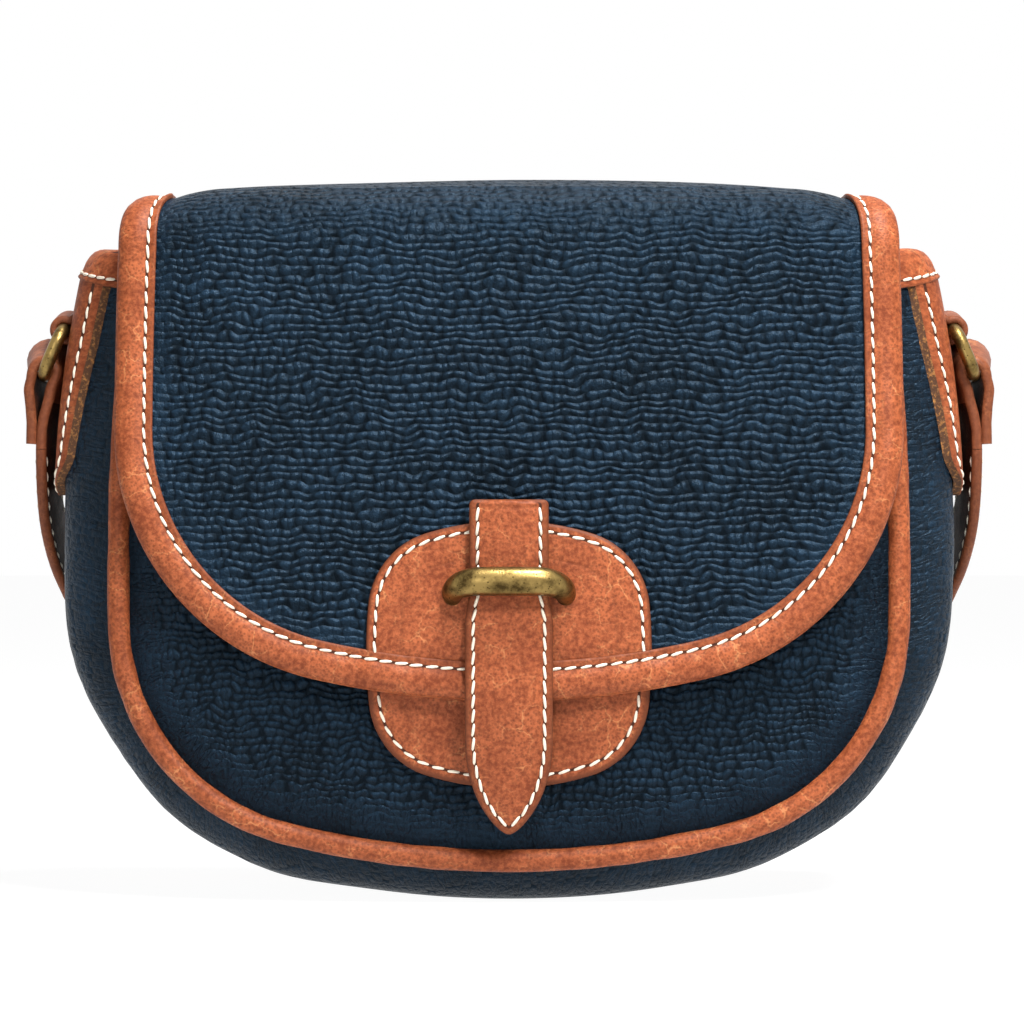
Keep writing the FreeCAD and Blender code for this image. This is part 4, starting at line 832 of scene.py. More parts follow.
def waxed_thread():
    """Waxed linen thread: ivory, matt, with a fine twist."""
    found = bpy.data.materials.get("Waxed linen thread")
    if found:
        return found
    material, tree = new_material("Waxed linen thread")
    place = add_node(tree, "ShaderNodeTexCoord").outputs["Object"]
    twist = add_node(tree, "ShaderNodeTexNoise", None, {
        "Vector": place, "Scale": PER_MM / 0.5, "Detail": 2.0}).outputs["Fac"]
    colour = add_node(tree, "ShaderNodeMix", COLOUR_MIX, {
        "Factor": twist, "A": linear("d8c9b0"), "B": list(colours().thread)})
    bump = add_node(tree, "ShaderNodeBump", None, {"Height": twist, "Strength": 0.5, "Distance": 0.0001})
    finish_material(tree, {"Base Color": colour.outputs["Result"], "Roughness": 0.6,
                           "Normal": bump.outputs[0]})
    return material


# Sewing

def stitch_row(line, normal, pitch, slant=0.14, stretch=1.0):
    """Points of a row of stitches along a line of points: rows x 30 x 3.

    Each stitch is five rings of six points, swelling as the square root of 1 - t ** 4 and dipping as t ** 2
    into the leather at both ends, turned a little across the line."""
    along = run_length(line)
    count = max(int(along[-1] / pitch), 1)
    places = (np.arange(count) + 0.5) * along[-1] / count
    centre = resampled(line, places)
    tangent = unit(resampled(line, places + 0.4) - resampled(line, places - 0.4))
    up = unit(np.stack([np.interp(places, along, normal[:, axis]) for axis in range(3)], axis=-1))
    across = unit(np.cross(up, tangent))
    length = sizes().stitch_length / MM * stretch
    radius = sizes().thread_radius / MM
    t = np.array([-1.0, -0.72, 0.0, 0.72, 1.0])[:, None]
    turn = np.arange(6) * PI / 3.0
    swell = np.sqrt(np.maximum(1.0 - t ** 4, 0.12))
    aside = radius * swell * np.cos(turn) + slant * t * length / 2.0
    lift = radius * (swell * np.sin(turn) * 0.85 + 0.45 - 0.95 * t ** 2)
    forth = np.repeat(t * length / 2.0, 6, axis=1)
    shape = np.stack([forth, aside, lift], axis=-1).reshape(-1, 3)
    frames = np.stack([tangent, across, up], axis=1)
    return centre[:, None, :] + np.einsum("ka,nab->nkb", shape, frames)


def stitches(name, rows, body=None, bend=None):
    """One piece of thread from several rows of stitches."""
    points = np.concatenate(rows)
    ring = np.arange(24).reshape(4, 6)
    sides = np.stack([ring, np.roll(ring, -1, axis=1), np.roll(ring, -1, axis=1) + 6, ring + 6], axis=-1)
    ends = np.array([[0, 3, 2, 1], [0, 5, 4, 3], [24, 25, 26, 27], [24, 27, 28, 29]])
    one = np.concatenate([sides.reshape(-1, 4), ends])
    quads = (one[None] + 30 * np.arange(len(points))[:, None, None]).reshape(-1, 4)
    piece = new_mesh(name, points, quads, closed=True)
    dress(piece, [waxed_thread()])
    if bend:
        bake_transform(piece)
    else:
        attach(piece, body)
    return piece


# Sweeps

def tube(name, path, first, second, radius, sides=20, flatten=1.0, looped=False):
    """A round or oval wire along a path: path + first radius cos + second flattened radius sin."""
    turn = np.linspace(0.0, 2.0 * PI, sides + 1)
    radius = np.broadcast_to(radius, (len(path),))[:, None, None]
    wave = np.cos(turn)[None, :, None]
    crest = (flatten * np.sin(turn))[None, :, None]
    points = path[:, None] + radius * (first[:, None] * wave + second[:, None] * crest)
    along = run_length(path)
    flat = np.stack(np.broadcast_arrays(along[:, None], turn[None] * radius[:, :, 0]), axis=-1)
    if looped:
        return new_grid(name, points, flat, {"seam": NO_SEAM, "edge": 0.0}, closed=True)
    return new_rods(name, points, flat, {"seam": NO_SEAM, "edge": 0.0})


def strap_section(half_width, thickness, crown=0.15):
    """Closed section of a flat strap: two faces crowned as 1 - (w / half_width) ** 2, and rounded edges."""
    half = thickness / 2.0
    turn = np.linspace(-PI / 2.0, PI / 2.0, 7)
    side = np.linspace(-half_width + half, half_width - half, 19)
    top = half + crown * (1.0 - (side / half_width) ** 2)
    right = np.stack([half_width - half + 0.8 * half * np.cos(turn), -half * np.sin(turn)], axis=-1)
    upper = np.stack([side, top], axis=-1)
    lower = np.stack([side[::-1], -top[::-1]], axis=-1)
    left = right * (-1.0, -1.0)
    return np.concatenate([upper, right[1:-1], lower, left[1:-1], upper[:1]])


def ribbon(name, path, wide, section, lift=None, dark=None):
    """A flat strap along a path: each section point lies w along the wide direction and n along the normal.

    lift adds to n for each row and section point; dark gives for each row whether the face of positive n and
    the face of negative n take the second material."""
    wide, normal = path_axes(path, wide)
    height = section[None, :, 1] + (0.0 if lift is None else lift(normal, section))
    points = path[:, None] + wide[:, None] * section[None, :, :1] + normal[:, None] * height[..., None]
    along = run_length(path)
    girth = run_length(section)
    flat = np.stack(np.broadcast_arrays(along[:, None], girth[None]), axis=-1)
    rim = np.abs(section[:, 0]).max() - np.abs(section[:, 0])
    edge = np.broadcast_to(0.5 * np.exp(-rim / 0.7), points.shape[:2])
    slots = None
    if dark is not None:
        middle = (section[1:] + section[:-1]) / 2.0
        face = np.abs(middle[:, 0]) < np.abs(section[:, 0]).max() - 1.0
        upper = dark[:-1, :1] * (face & (middle[:, 1] > 0.0))
        lower = dark[:-1, 1:] * (face & (middle[:, 1] < 0.0))
        slots = (upper + lower).astype(int)
    return new_rods(name, points, flat, {"seam": NO_SEAM, "edge": edge}, slots)


def inner_face(sign, count):
    """Which face of a strap is the dark inner one: positive n on the left side, negative n on the right."""
    return np.tile([[1.0, 0.0]] if sign < 0.0 else [[0.0, 1.0]], (count, 1))


# Stage

def soft_lamp(name, place, aim, size, power):
    """A large soft lamp turned toward a point."""
    lamp = bpy.data.lights.new(name, "AREA")
    lamp.shape = "RECTANGLE"
    lamp.size, lamp.size_y = size
    lamp.energy = power
    holder = bpy.data.objects.new(name, lamp)
    start = np.array(place)
    toward = unit(np.array(aim) - start)
    holder.location = place
    holder.rotation_euler = (math.acos(-toward[2]), 0.0, math.atan2(toward[1], toward[0]) - PI / 2.0)
    bpy.context.scene.collection.objects.link(holder)


class HANDBAG_OT_stage(bpy.types.Operator):
    """Camera at the photograph's angle, soft lamps, a white world and a pale floor"""
    bl_idname = "handbag.stage"
    bl_label = "Stage"

    def execute(self, context):
        scene = context.scene
        scene.view_settings.view_transform = "Standard"
        camera = bpy.data.cameras.new("Camera")
        camera.lens = 155.9
        camera.sensor_width = 36.0
        holder = bpy.data.objects.new("Camera", camera)
        holder.location = (0.0008, -1.2, 0.1031)
        holder.rotation_euler = (PI / 2.0, 0.0, 0.0)
        scene.collection.objects.link(holder)
        scene.camera = holder
        soft_lamp("Key lamp", (0.38, -0.8, 0.85), (0.05, 0.0, 0.14), (0.2, 0.2), 12.0)
        soft_lamp("Fill lamp", (-0.4, -1.2, 0.25), (0.0, 0.0, 0.07), (0.6, 0.6), 2.6)
        soft_lamp("Top lamp", (0.2, -0.32, 1.05), (0.0, 0.0, 0.13), (0.3, 0.25), 17.0)
        soft_lamp("Right lamp", (1.0, -0.4, 0.5), (0.1, 0.0, 0.12), (0.3, 0.6), 0.3)
        self.white_world(scene)
        self.pale_floor()
        return {"FINISHED"}

    def seen_rays(self, tree):
        """1 for rays from the camera, from a gloss or through a clear body, else 0."""
        path = add_node(tree, "ShaderNodeLightPath")
        shine = add_node(tree, "ShaderNodeMath", LARGER, {
            0: path.outputs["Is Glossy Ray"], 1: path.outputs["Is Transmission Ray"]}).outputs[0]
        return add_node(tree, "ShaderNodeMath", LARGER, {
            0: path.outputs["Is Camera Ray"], 1: shine}).outputs[0]

    def white_world(self, scene):
        """White for the camera and in reflections, a plain grey for the light it gives."""
        world = bpy.data.worlds.new("Studio")
        scene.world = world
        world.use_nodes = True
        tree = world.node_tree
        tree.nodes.clear()
        seen = self.seen_rays(tree)
        strength = add_node(tree, "ShaderNodeMapRange", None, {
            "Value": seen, "To Min": 0.08, "To Max": 1.0}).outputs[0]
        light = add_node(tree, "ShaderNodeBackground", None, {
            "Color": (1.0, 1.0, 1.0, 1.0), "Strength": strength})
        add_node(tree, "ShaderNodeOutputWorld", None, {"Surface": light.outputs[0]})

    def pale_floor(self):
        """A white floor that keeps part of the object's shadow."""
        material, tree = new_material("White studio floor")
        seen = self.seen_rays(tree)
        share = add_node(tree, "ShaderNodeMath", TIMES, {0: seen, 1: 0.8}).outputs[0]
        paint = add_node(tree, "ShaderNodeBsdfDiffuse", None, {"Color": (0.85, 0.85, 0.85, 1.0)})
        white = add_node(tree, "ShaderNodeEmission", None, {"Color": (1.0, 1.0, 1.0, 1.0), "Strength": 1.2})
        mixed = add_node(tree, "ShaderNodeMixShader", None, {
            0: share, 1: paint.outputs[0], 2: white.outputs[0]})
        add_node(tree, "ShaderNodeOutputMaterial", None, {"Surface": mixed.outputs[0]})
        side = np.linspace(-6000.0, 6000.0, 9)
        x, y = np.meshgrid(side, side)
        floor = new_grid("Floor", np.stack([x, y, np.full_like(x, -0.05)], axis=-1), centre=(0.0, 0.0, -5.0))
        floor.data.materials.append(material)


# Shoulder strap

def strap_route():
    """The strap's route: left ring, down behind the bag, to and fro in a pile, up to the right ring."""
    floor = 1.6
    step = 3.6
    run = 33.0
    turn = 48.0
    reach = 55.5
    drop = [(125.6, 0.0, 121.0), (125.7, 1.0, 112.0), (124.8, 9.0, 99.0), (121.6, 27.0, 84.0),
            (116.5, 37.0, 68.0), (104.0, 47.0, 50.0)]
    landing = [(92.5, 53.0, 28.0), (80.5, 57.0, 9.0), (turn, PILE_Y, floor)]
    route = [(-x, y, z) for x, y, z in drop + landing]
    # The first run lies over the tie
    route += [(-9.0, PILE_Y, floor + 2.4), (9.0, PILE_Y, floor + 2.4)]
    for row in range(6):
        side = 1.0 if row % 2 == 0 else -1.0
        low = floor + 2.0 * step * row
        high = low + 2.0 * step
        route += [(side * run, PILE_Y, low + 0.05 * step), (side * turn, PILE_Y, low + 0.08 * step),
                  (side * reach, PILE_Y, low), (side * reach, PILE_Y, high),
                  (side * turn, PILE_Y, high - 0.08 * step), (side * run, PILE_Y, high - 0.05 * step)]
    route += [(70.5, 57.5, 41.8), (88.0, 53.7, 42.8)] + drop[::-1]
    return np.array(route)


def smooth_line(name, route):
    """Points read from a NURBS spline that has the route as its control points."""
    curve = bpy.data.curves.new(name, "CURVE")
    curve.dimensions = "3D"
    curve.resolution_u = 14
    spline = curve.splines.new("NURBS")
    spline.points.add(len(route) - 1)
    spline.points.foreach_set("co", np.c_[route * MM, np.ones(len(route))].ravel())
    spline.order_u = 3
    spline.use_endpoint_u = True
    holder = bpy.data.objects.new(name, curve)
    bpy.context.scene.collection.objects.link(holder)
    bpy.context.view_layer.update()
    mesh = bpy.data.meshes.new_from_object(holder.evaluated_get(bpy.context.evaluated_depsgraph_get()))
    points = np.zeros(3 * len(mesh.vertices))
    mesh.vertices.foreach_get("co", points)
    bpy.data.objects.remove(holder)
    bpy.data.curves.remove(curve)
    bpy.data.meshes.remove(mesh)
    return points.reshape(-1, 3) / MM


class HANDBAG_OT_shoulder_strap(bpy.types.Operator):
    """Two lengths of flat leather strap, one from each ring, that meet under a tie behind the bag"""
    bl_idname = "handbag.shoulder_strap"
    bl_label = "Shoulder strap"

    def execute(self, context):
        line = smooth_line("Strap route", strap_route())
        pile_middle = np.array([0.0, PILE_Y, PILE_MIDDLE_Z])
        split = int(np.argmin(np.linalg.norm(line - pile_middle, axis=1)))
        tie = self.tie()
        section = strap_section(SHOULDER_HALF_WIDTH, SHOULDER_THICKNESS)
        for side, path in (("left", line[:split + 1]), ("right", line[:split - 1:-1])):
            sign = -1.0 if side == "left" else 1.0
            path = path - np.outer(1.0 - eased(run_length(path) / 60.0), [0.8 * sign, 0.0, 0.0])
            fold = ("bag", side + "_ring") + tuple((sign * x, y, z) for x, y, z in SHOULDER_BEND)
            wide = self.width_direction(path, sign)
            half = ribbon("Shoulder_strap_" + side, path, wide, section, dark=inner_face(sign, len(path)))
            dress(half, [brown_leather(), dark_leather()], ["shoulder_strap"])
            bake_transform(half)
            self.sew(side, path, wide, fold)
        return {"FINISHED"}

    def width_direction(self, path, sign):
        """The strap's width lies along y; below the ring its back edge is turned in toward the bag."""
        turn = TWIST * (1.0 - eased((run_length(path) - 20.0) / 50.0))
        return np.stack([-sign * np.sin(turn), np.cos(turn), np.zeros(len(path))], axis=-1)

    def sew(self, side, path, wide, fold):
        """A row of stitches near each edge of both faces."""
        wide, normal = path_axes(path, wide)
        rows = []
        for edge in (-SHOULDER_SEWING, SHOULDER_SEWING):
            for face in (-1.0, 1.0):
                line = path + edge * wide + face * (SHOULDER_THICKNESS / 2.0 - 0.15) * normal
                rows.append(stitch_row(line[1:-1], face * normal[1:-1], SHOULDER_PITCH))
        stitches("Shoulder_stitches_" + side, rows, bend=fold)

    def tie(self):
        """A narrow band round the pile: a rounded rectangle in y, z."""
        half_y = 10.6
        half_z = 23.4
        corner = 2.5
        loop = rounded_rectangle(half_y, half_z, corner, 7)
        path = np.stack([np.zeros(len(loop)), PILE_Y + loop[:, 0], TIE_MIDDLE_Z + loop[:, 1]], axis=-1)
        section = strap_section(4.5, 1.2, crown=0.05)
        wide = np.broadcast_to([1.0, 0.0, 0.0], path.shape)
        normal = np.cross(loop_tangent(path), wide)
        points = path[:, None] + wide[:, None] * section[None, :, :1] + normal[:, None] * section[None, :, 1:]
        flat = np.stack(np.broadcast_arrays(run_length(path)[:, None], run_length(section)[None]), axis=-1)
        band = new_grid("Strap_tie", points, flat, {"seam": NO_SEAM, "edge": 0.0}, closed=True)
        dress(band, [brown_leather()])
        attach(band, "bag")
        return band


# Body

class HANDBAG_OT_body(bpy.types.Operator):
    """Panels, gusset, piping and the bindings of the body"""
    bl_idname = "handbag.body"
    bl_label = "Body"

    def execute(self, context):
        self.panel("Front_panel", FRONT, front_pillow, "front_panel", 11)
        self.panel("Back_panel", BACK, back_pillow, "back_panel", 12)
        self.gusset()
        self.piping("Front_piping", FRONT, "front_piping")
        self.piping("Back_piping", BACK, "back_piping")
        self.mouth_binding()
        for side in ("left", "right"):
            self.gusset_binding(side)
        return {"FINISHED"}

    def panel(self, name, side, pillow, node, seed):
        """A panel: its pillow rises from the seam as 1 - exp(-depth), with puckers strongest 9 mm in."""
        half = half_outline(SEAM, PANEL_TOP, (70, 44, 34))
        insets = np.concatenate([np.linspace(0.2, 12.0, 15), np.linspace(13.5, 52.0, 24)])
        points, depth = inset_grid(half, insets, 22)
        x = points[..., 0]
        z = points[..., 1]
        run = run_length(half)
        along = (run[-1] - run)[:, None] * np.sign(x)
        pucker = np.exp(-((depth - 9.0) / 9.0) ** 2) * ripple(along, depth * 0.3, 16.0, seed)
        soft = ripple(x, z, 60.0, seed + 20) * np.clip(depth / 30.0, 0.0, 1.0)
        out = pillow(depth) + 0.2 * pucker + 0.5 * soft
        # The last mark paints shade beside the piping, fading over about 7 mm in
        marks = {"grain": np.clip((depth - 4.0) / 10.0, 0.0, 1.15),
                 "pull": 0.8 * np.exp(-((depth - 9.5) / 5.5) ** 2),
                 "painted_valley_shade": np.exp(-(depth / 7.0) ** 2)}
        around = np.stack([along, depth], axis=-1)
        # The panel's pebbles are smaller and squarer than the flap's
        flat = np.stack([1.3 * x, 1.08 * z], axis=-1)
        piece = new_grid(name, on_seam(side, x, z, out), flat, marks, around=around)
        thicken(piece, BODY_HIDE, inner_slot=1, rim_slot=1)
        dress(piece, [navy_leather(), suede()], [node])
        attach(piece, "bag")

    def gusset(self):
        """The gusset: the seam outline swelling to the full outline between the seams, creased across."""
        counts = (90, 60, 44)
        seam = both_sides(half_outline(SEAM, GUSSET_TOP, counts))
        full = both_sides(half_outline(FULLEST, GUSSET_TOP, counts))
        share = np.concatenate([np.linspace(-1.0, -0.45, 26), np.linspace(-0.42, 0.42, 22),
                                np.linspace(0.45, 1.0, 26)])
        half_depth = seam_y(seam[:, 1])[:, None]
        inward = half_depth * (1.0 - np.abs(share))[None]
        swell = gusset_swell(inward)
        normal = unit(np.stack([np.gradient(full[:, 1]), -np.gradient(full[:, 0])], axis=-1))
        normal *= np.sign((normal * (full - (0.0, 100.0))).sum(axis=1, keepdims=True))
        along = np.repeat(run_length(full)[:, None], len(share), axis=1)
        y = half_depth * share[None]
        fold = ripple(along, y * 0.16, 6.5, 31) * np.exp(-((inward - 9.0) / 8.0) ** 2)
        soft = ripple(along, y, 40.0, 32) * np.clip(inward / 16.0, 0.0, 1.0)
        low = np.clip(full[:, 1:] / 12.0, 0.0, 1.0)
        push = (0.12 * fold + 0.5 * soft) * low
        bulge = swell[..., None] * (full - seam)[:, None]
        flat_xz = seam[:, None] + bulge + push[..., None] * normal[:, None]
        points = np.stack([flat_xz[..., 0], y, flat_xz[..., 1]], axis=-1)
        girth = np.concatenate([np.zeros((len(points), 1)),
                                np.cumsum(np.linalg.norm(np.diff(points, axis=1), axis=-1), axis=1)], axis=1)
        girth = girth - girth[:, len(share) // 2][:, None]
        # The last mark paints shade beside the piping, fading over about 5 mm in
        marks = {"grain": 0.4, "pull": 0.8 * np.exp(-((inward - 8.0) / 7.0) ** 2),
                 "painted_valley_shade": np.exp(-(inward / 5.0) ** 2)}
        piece = new_grid("Gusset", points, np.stack([girth, along], axis=-1), marks,
                         around=np.stack([along, inward], axis=-1))
        thicken(piece, BODY_HIDE, inner_slot=1, rim_slot=1)
        dress(piece, [navy_leather(), suede()], ["gusset"])
        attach(piece, "bag")

    def piping(self, name, side, node):
        """A leather-covered bead: a circle along the seam outline."""
        line = both_sides(half_outline(SEAM, PANEL_TOP, (90, 60, 44)))
        path = on_seam(side, line[:, 0], line[:, 1], 0.0)
        plane = np.broadcast_to([0.0, side * LEAN_COS, LEAN_SIN], path.shape)
        across = unit(np.cross(unit(np.gradient(path, axis=0)), plane))
        radius = PIPING_RADIUS + 0.12 * ripple(run_length(path), 0.0 * path[:, 0], 14.0, 41)
        piece = tube(name, path, across, plane, radius, sides=18)
        dress(piece, [tan_leather()], [node])
        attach(piece, "bag")

    def mouth_binding(self):
        """A folded band over the front panel's top edge: a U profile along x."""
        short = 3.6
        half = half_width_at(SEAM, PANEL_TOP) - short
        x = np.linspace(-half, half, 90)[:, None]
        profile = np.array([(160.6, 0.15), (160.6, 1.2), (161.2, 1.45), (MOUTH_SEWING, 1.3), (165.0, 1.6),
                            (167.6, 1.4), (168.8, 0.4), (169.2, -1.0), (168.8, -2.4), (167.6, -3.3),
                            (165.0, -3.4), (161.2, -3.3), (160.6, -3.1), (160.6, -2.1), (168.0, -2.1),
                            (168.0, 0.15), (160.6, 0.15)])
        depth = half + short - np.abs(x)
        out = front_pillow(depth) + profile[None, :, 1]
        z = np.broadcast_to(profile[None, :, 0], out.shape)
        points = on_seam(FRONT, np.broadcast_to(x, out.shape), z, out)
        girth = run_length(profile)
        flat = np.stack(np.broadcast_arrays(x, girth[None]), axis=-1)
        seam = np.broadcast_to((profile[:, 0] - MOUTH_SEWING)[None], out.shape)
        piece = new_rods("Mouth_binding", points, flat, {"seam": seam, "edge": 0.0})
        dress(piece, [tan_leather()], ["mouth_binding"])
        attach(piece, "bag")
        line = on_seam(FRONT, x[2:-2, 0], MOUTH_SEWING, front_pillow(depth[2:-2, 0]) + 1.3)
        inner = on_seam(FRONT, x[2:-2, 0], MOUTH_SEWING, front_pillow(depth[2:-2, 0]) - 3.35)
        face = np.broadcast_to([0.0, -LEAN_COS, LEAN_SIN], line.shape)
        pitch = sizes().stitch_pitch / MM
        stitches("Mouth_stitches", [stitch_row(line, face, pitch), stitch_row(inner, -face, pitch)], "bag")

    def gusset_binding(self, side):
        """A rolled band over one top end of the gusset: a closed profile in height and offset, along y.

        Its lower edge rises toward the outside, and it bulges over the anchor."""
        sign = -1.0 if side == "left" else 1.0
        half = 25.6
        sewn = 0.2
        y = np.linspace(-half, half, 70)[:, None]
        rise = 1.0 - (y / half) ** 2
        low = 161.6 + 5.2 * rise
        over = 1.6 / (1.0 + np.exp((np.abs(y) - 22.6) / 0.4))
        top = 172.4 + 1.6 * rise + 0.3 * ripple(y, 0.0 * y, 17.0, 51 if sign < 0 else 52)
        # Each point: share of the height, offset from the gusset, share of the bulge over the anchor
        profile = np.array([(0.0, 0.2, 1.0), (0.0, 1.3, 1.0), (0.07, 1.6, 1.0), (sewn, 1.0, 1.0),
                            (0.32, 0.9, 0.9), (0.55, 0.9, 0.7), (0.75, 0.5, 0.5), (0.9, -0.3, 0.3),
                            (0.98, -1.5, 0.1), (1.0, -2.6, 0.0), (0.95, -3.9, 0.0), (0.8, -4.5, 0.0),
                            (0.5, -4.3, 0.0), (0.2, -3.8, 0.0), (0.03, -3.6, 0.0), (0.0, -2.4, 0.0),
                            (0.1, -2.3, 0.0), (0.8, -2.3, 0.0), (0.8, 0.2, 0.5), (0.0, 0.2, 1.0)])
        t, out, outer = profile.T[:, None]
        z = low + (top - low) * t
        lump = 0.22 * ripple(y + 0.0 * t, z, 7.0, 53) * np.clip(out, 0.0, 1.0)
        x = gusset_x(np.minimum(z, 171.5), y + 0.0 * t) + out + outer * over + lump
        points = np.stack([sign * x, y + 0.0 * t, z], axis=-1)
        girth = run_length(np.stack([8.0 * t[0], out[0]], axis=-1))
        flat = np.stack(np.broadcast_arrays(y, girth[None]), axis=-1)
        seam = np.where(out > 0.9, (t - sewn) * 9.0, NO_SEAM) + 0.0 * y
        edge = np.where(t + 0.0 * y < 0.03, 0.8, 0.0)
        piece = new_rods("Gusset_binding_" + side, points, flat, {"seam": seam, "edge": edge})
        dress(piece, [tan_leather()], ["gusset_binding_" + side])
        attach(piece, "bag")
        sew_y = y[2:-2, 0]
        sew_z = (low + (top - low) * sewn)[2:-2, 0]
        sew_x = gusset_x(sew_z, sew_y) + 1.05 + over[2:-2, 0]
        line = np.stack([sign * sew_x, sew_y, sew_z], axis=-1)
        slope = np.gradient(sew_x, sew_y)
        face = unit(np.stack([sign * np.ones_like(slope), -slope, 0.15 + 0.0 * slope], axis=-1))
        stitches("Gusset_binding_stitches_" + side, [stitch_row(line, face, GUSSET_PITCH, 0.1, 0.85)], "bag")


# Flap

def binding_profile():
    """Closed profile of the flap's binding: distance in from the edge, height off the leather's middle."""
    return np.array([(10.2, 1.02), (10.25, 1.75), (10.05, 2.15), (9.5, 2.25), (8.8, 2.1), (8.0, 1.85),
                     (7.2, 2.2), (6.2, 2.6), (4.8, 2.85), (3.2, 2.75), (1.8, 2.3), (0.7, 1.5), (0.15, 0.7),
                     (0.0, 0.0), (0.15, -0.7), (0.7, -1.5), (1.8, -2.1), (3.2, -2.3), (5.0, -2.3),
                     (6.6, -2.2), (8.0, -1.95), (9.2, -2.15), (10.05, -2.1), (10.25, -1.75),
                     (10.2, -1.02), (1.6, -1.02), (1.6, 1.02), (10.2, 1.02)])


class HANDBAG_OT_flap(bpy.types.Operator):
    """The flap's leather, its edge binding and stitching, each in a front and a rear length"""
    bl_idname = "handbag.flap"
    bl_label = "Flap"

    def execute(self, context):
        self.front_leather()
        self.rear_leather()
        half = flap_half()
        path = both_sides(half)
        normal = both_sides(outward(half))
        self.binding("Flap_binding_front", path, normal, FRONT_FOLD,
                     ["flap_binding_front", "flap_binding_top_left", "flap_binding_top_right"])
        rear_s = np.linspace(FLAP_MIDDLE, FLAP_REAR_END, 44)
        for side, sign in (("left", -1.0), ("right", 1.0)):
            line = np.stack([np.full_like(rear_s, sign * FLAP_TOP_HALF_WIDTH), rear_s], axis=-1)
            face = np.broadcast_to([sign, 0.0], line.shape)
            self.binding("Flap_binding_rear_" + side, line, face, REAR_FOLD, ["flap_binding_rear_" + side])
        return {"FINISHED"}

    def front_leather(self):
        """The flap from the middle of its top down the front, inset from its outline, with a slow swell."""
        half = flap_half()
        insets = np.concatenate([[2.0, 5.0, 8.0, 10.0], np.linspace(11.5, 60.0, 30)])
        points, depth = inset_grid(half, insets, 26)
        x = points[..., 0]
        s = points[..., 1]
        swell = 0.35 * ripple(x, s, 75.0, 61) * np.clip((depth - 10.0) / 25.0, 0.0, 1.0)
        dip = -0.25 * np.exp(-((depth - 11.5) / 1.6) ** 2)
        top = np.exp(-((s - 14.0) / 26.0) ** 2)
        grain = np.clip((depth - 9.5) / 6.0, 0.35, 1.0) * (1.0 - 0.25 * top)
        flat = np.stack([x, s], axis=-1)
        marks = {"grain": grain, "pull": 0.0}
        piece = new_grid("Flap_front", on_flap(x, s, 1.0 + swell + dip), flat, marks, around=flat)
        thicken(piece, FLAP_HIDE, inner_slot=1)
        dress(piece, [navy_leather(), suede()], ["flap_front", "flap_top"])
        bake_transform(piece)

    def rear_leather(self):
        """The flap from the middle of its top to its sewn edge on the back."""
        half = 96.5
        sewn_half = 87.0
        x, s = np.meshgrid(np.linspace(-half, half, 80), np.linspace(FLAP_MIDDLE, FLAP_REAR_END, 56))
        grain = np.clip((FLAP_TOP_HALF_WIDTH - np.abs(x) - 9.5) / 6.0, 0.35, 1.0) * 0.9
        flat = np.stack([x, s], axis=-1)
        marks = {"grain": grain, "pull": 0.0}
        piece = new_grid("Flap_rear", on_flap(x, s, 1.0 + 0.0 * x), flat, marks, around=flat)
        thicken(piece, FLAP_HIDE, inner_slot=1)
        dress(piece, [navy_leather(), suede()], ["flap_rear"])
        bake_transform(piece)
        span = np.linspace(-sewn_half, sewn_half, 60)
        line = on_flap(span, FLAP_REAR_END - 3.0, 1.05)
        face = np.broadcast_to([0.0, LEAN_COS, LEAN_SIN], line.shape)
        stitches("Flap_rear_stitches", [stitch_row(line, face, sizes().stitch_pitch / MM)], "bag")

    def patch_ridge(self, x, s):
        """Rise of the binding over the patch: a soft step at the patch's side, low on the front."""
        return 0.75 / (1.0 + np.exp((np.abs(x) - 37.0) / 0.5)) * (s < -60.0)

    def binding(self, name, path, normal, fold, nodes):
        """The folded binding: its profile carried along the flap's edge, with stitches on both faces."""
        profile = binding_profile()
        inset = profile[None, :, :1] * normal[:, None]
        place = path[:, None] - inset
        ridge = self.patch_ridge(place[..., 0], place[..., 1])
        along = run_length(path)
        soft = 0.16 * ripple(along[:, None] + 0.0 * ridge, profile[None, :, 0] + 0.0 * ridge, 11.0, 71)
        out = profile[None, :, 1] + np.where(profile[None, :, 1] > 1.1, ridge + soft, 0.0)
        points = on_flap(place[..., 0], place[..., 1], out)
        flat = np.stack(np.broadcast_arrays(along[:, None], run_length(profile)[None]), axis=-1)
        seam = np.where(np.abs(profile[:, 1]) > 1.1, profile[:, 0] - STITCH_INSET, NO_SEAM)
        edge = np.interp(profile[:, 0], [8.4, 9.4, 10.0, 10.3], [0.0, 0.3, 0.5, 0.9])
        marks = {"seam": np.broadcast_to(seam, out.shape), "edge": np.broadcast_to(edge, out.shape)}
        piece = new_rods(name, points, flat, marks)
        dress(piece, [tan_leather()], nodes)
        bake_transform(piece)
        line = path - STITCH_INSET * normal
        ridge = self.patch_ridge(line[:, 0], line[:, 1])
        rows = []
        for height, sign in ((1.9, 1.0), (-2.0, -1.0)):
            lift = height + (ridge if sign > 0.0 else 0.0)
            sewn = on_flap(line[:, 0], line[:, 1], lift)
            face = unit(on_flap(line[:, 0], line[:, 1], lift + sign) - sewn)
            rows.append(stitch_row(sewn, face, sizes().stitch_pitch / MM))
        stitches(name.replace("binding", "stitches"), rows, bend=fold)


# Closure

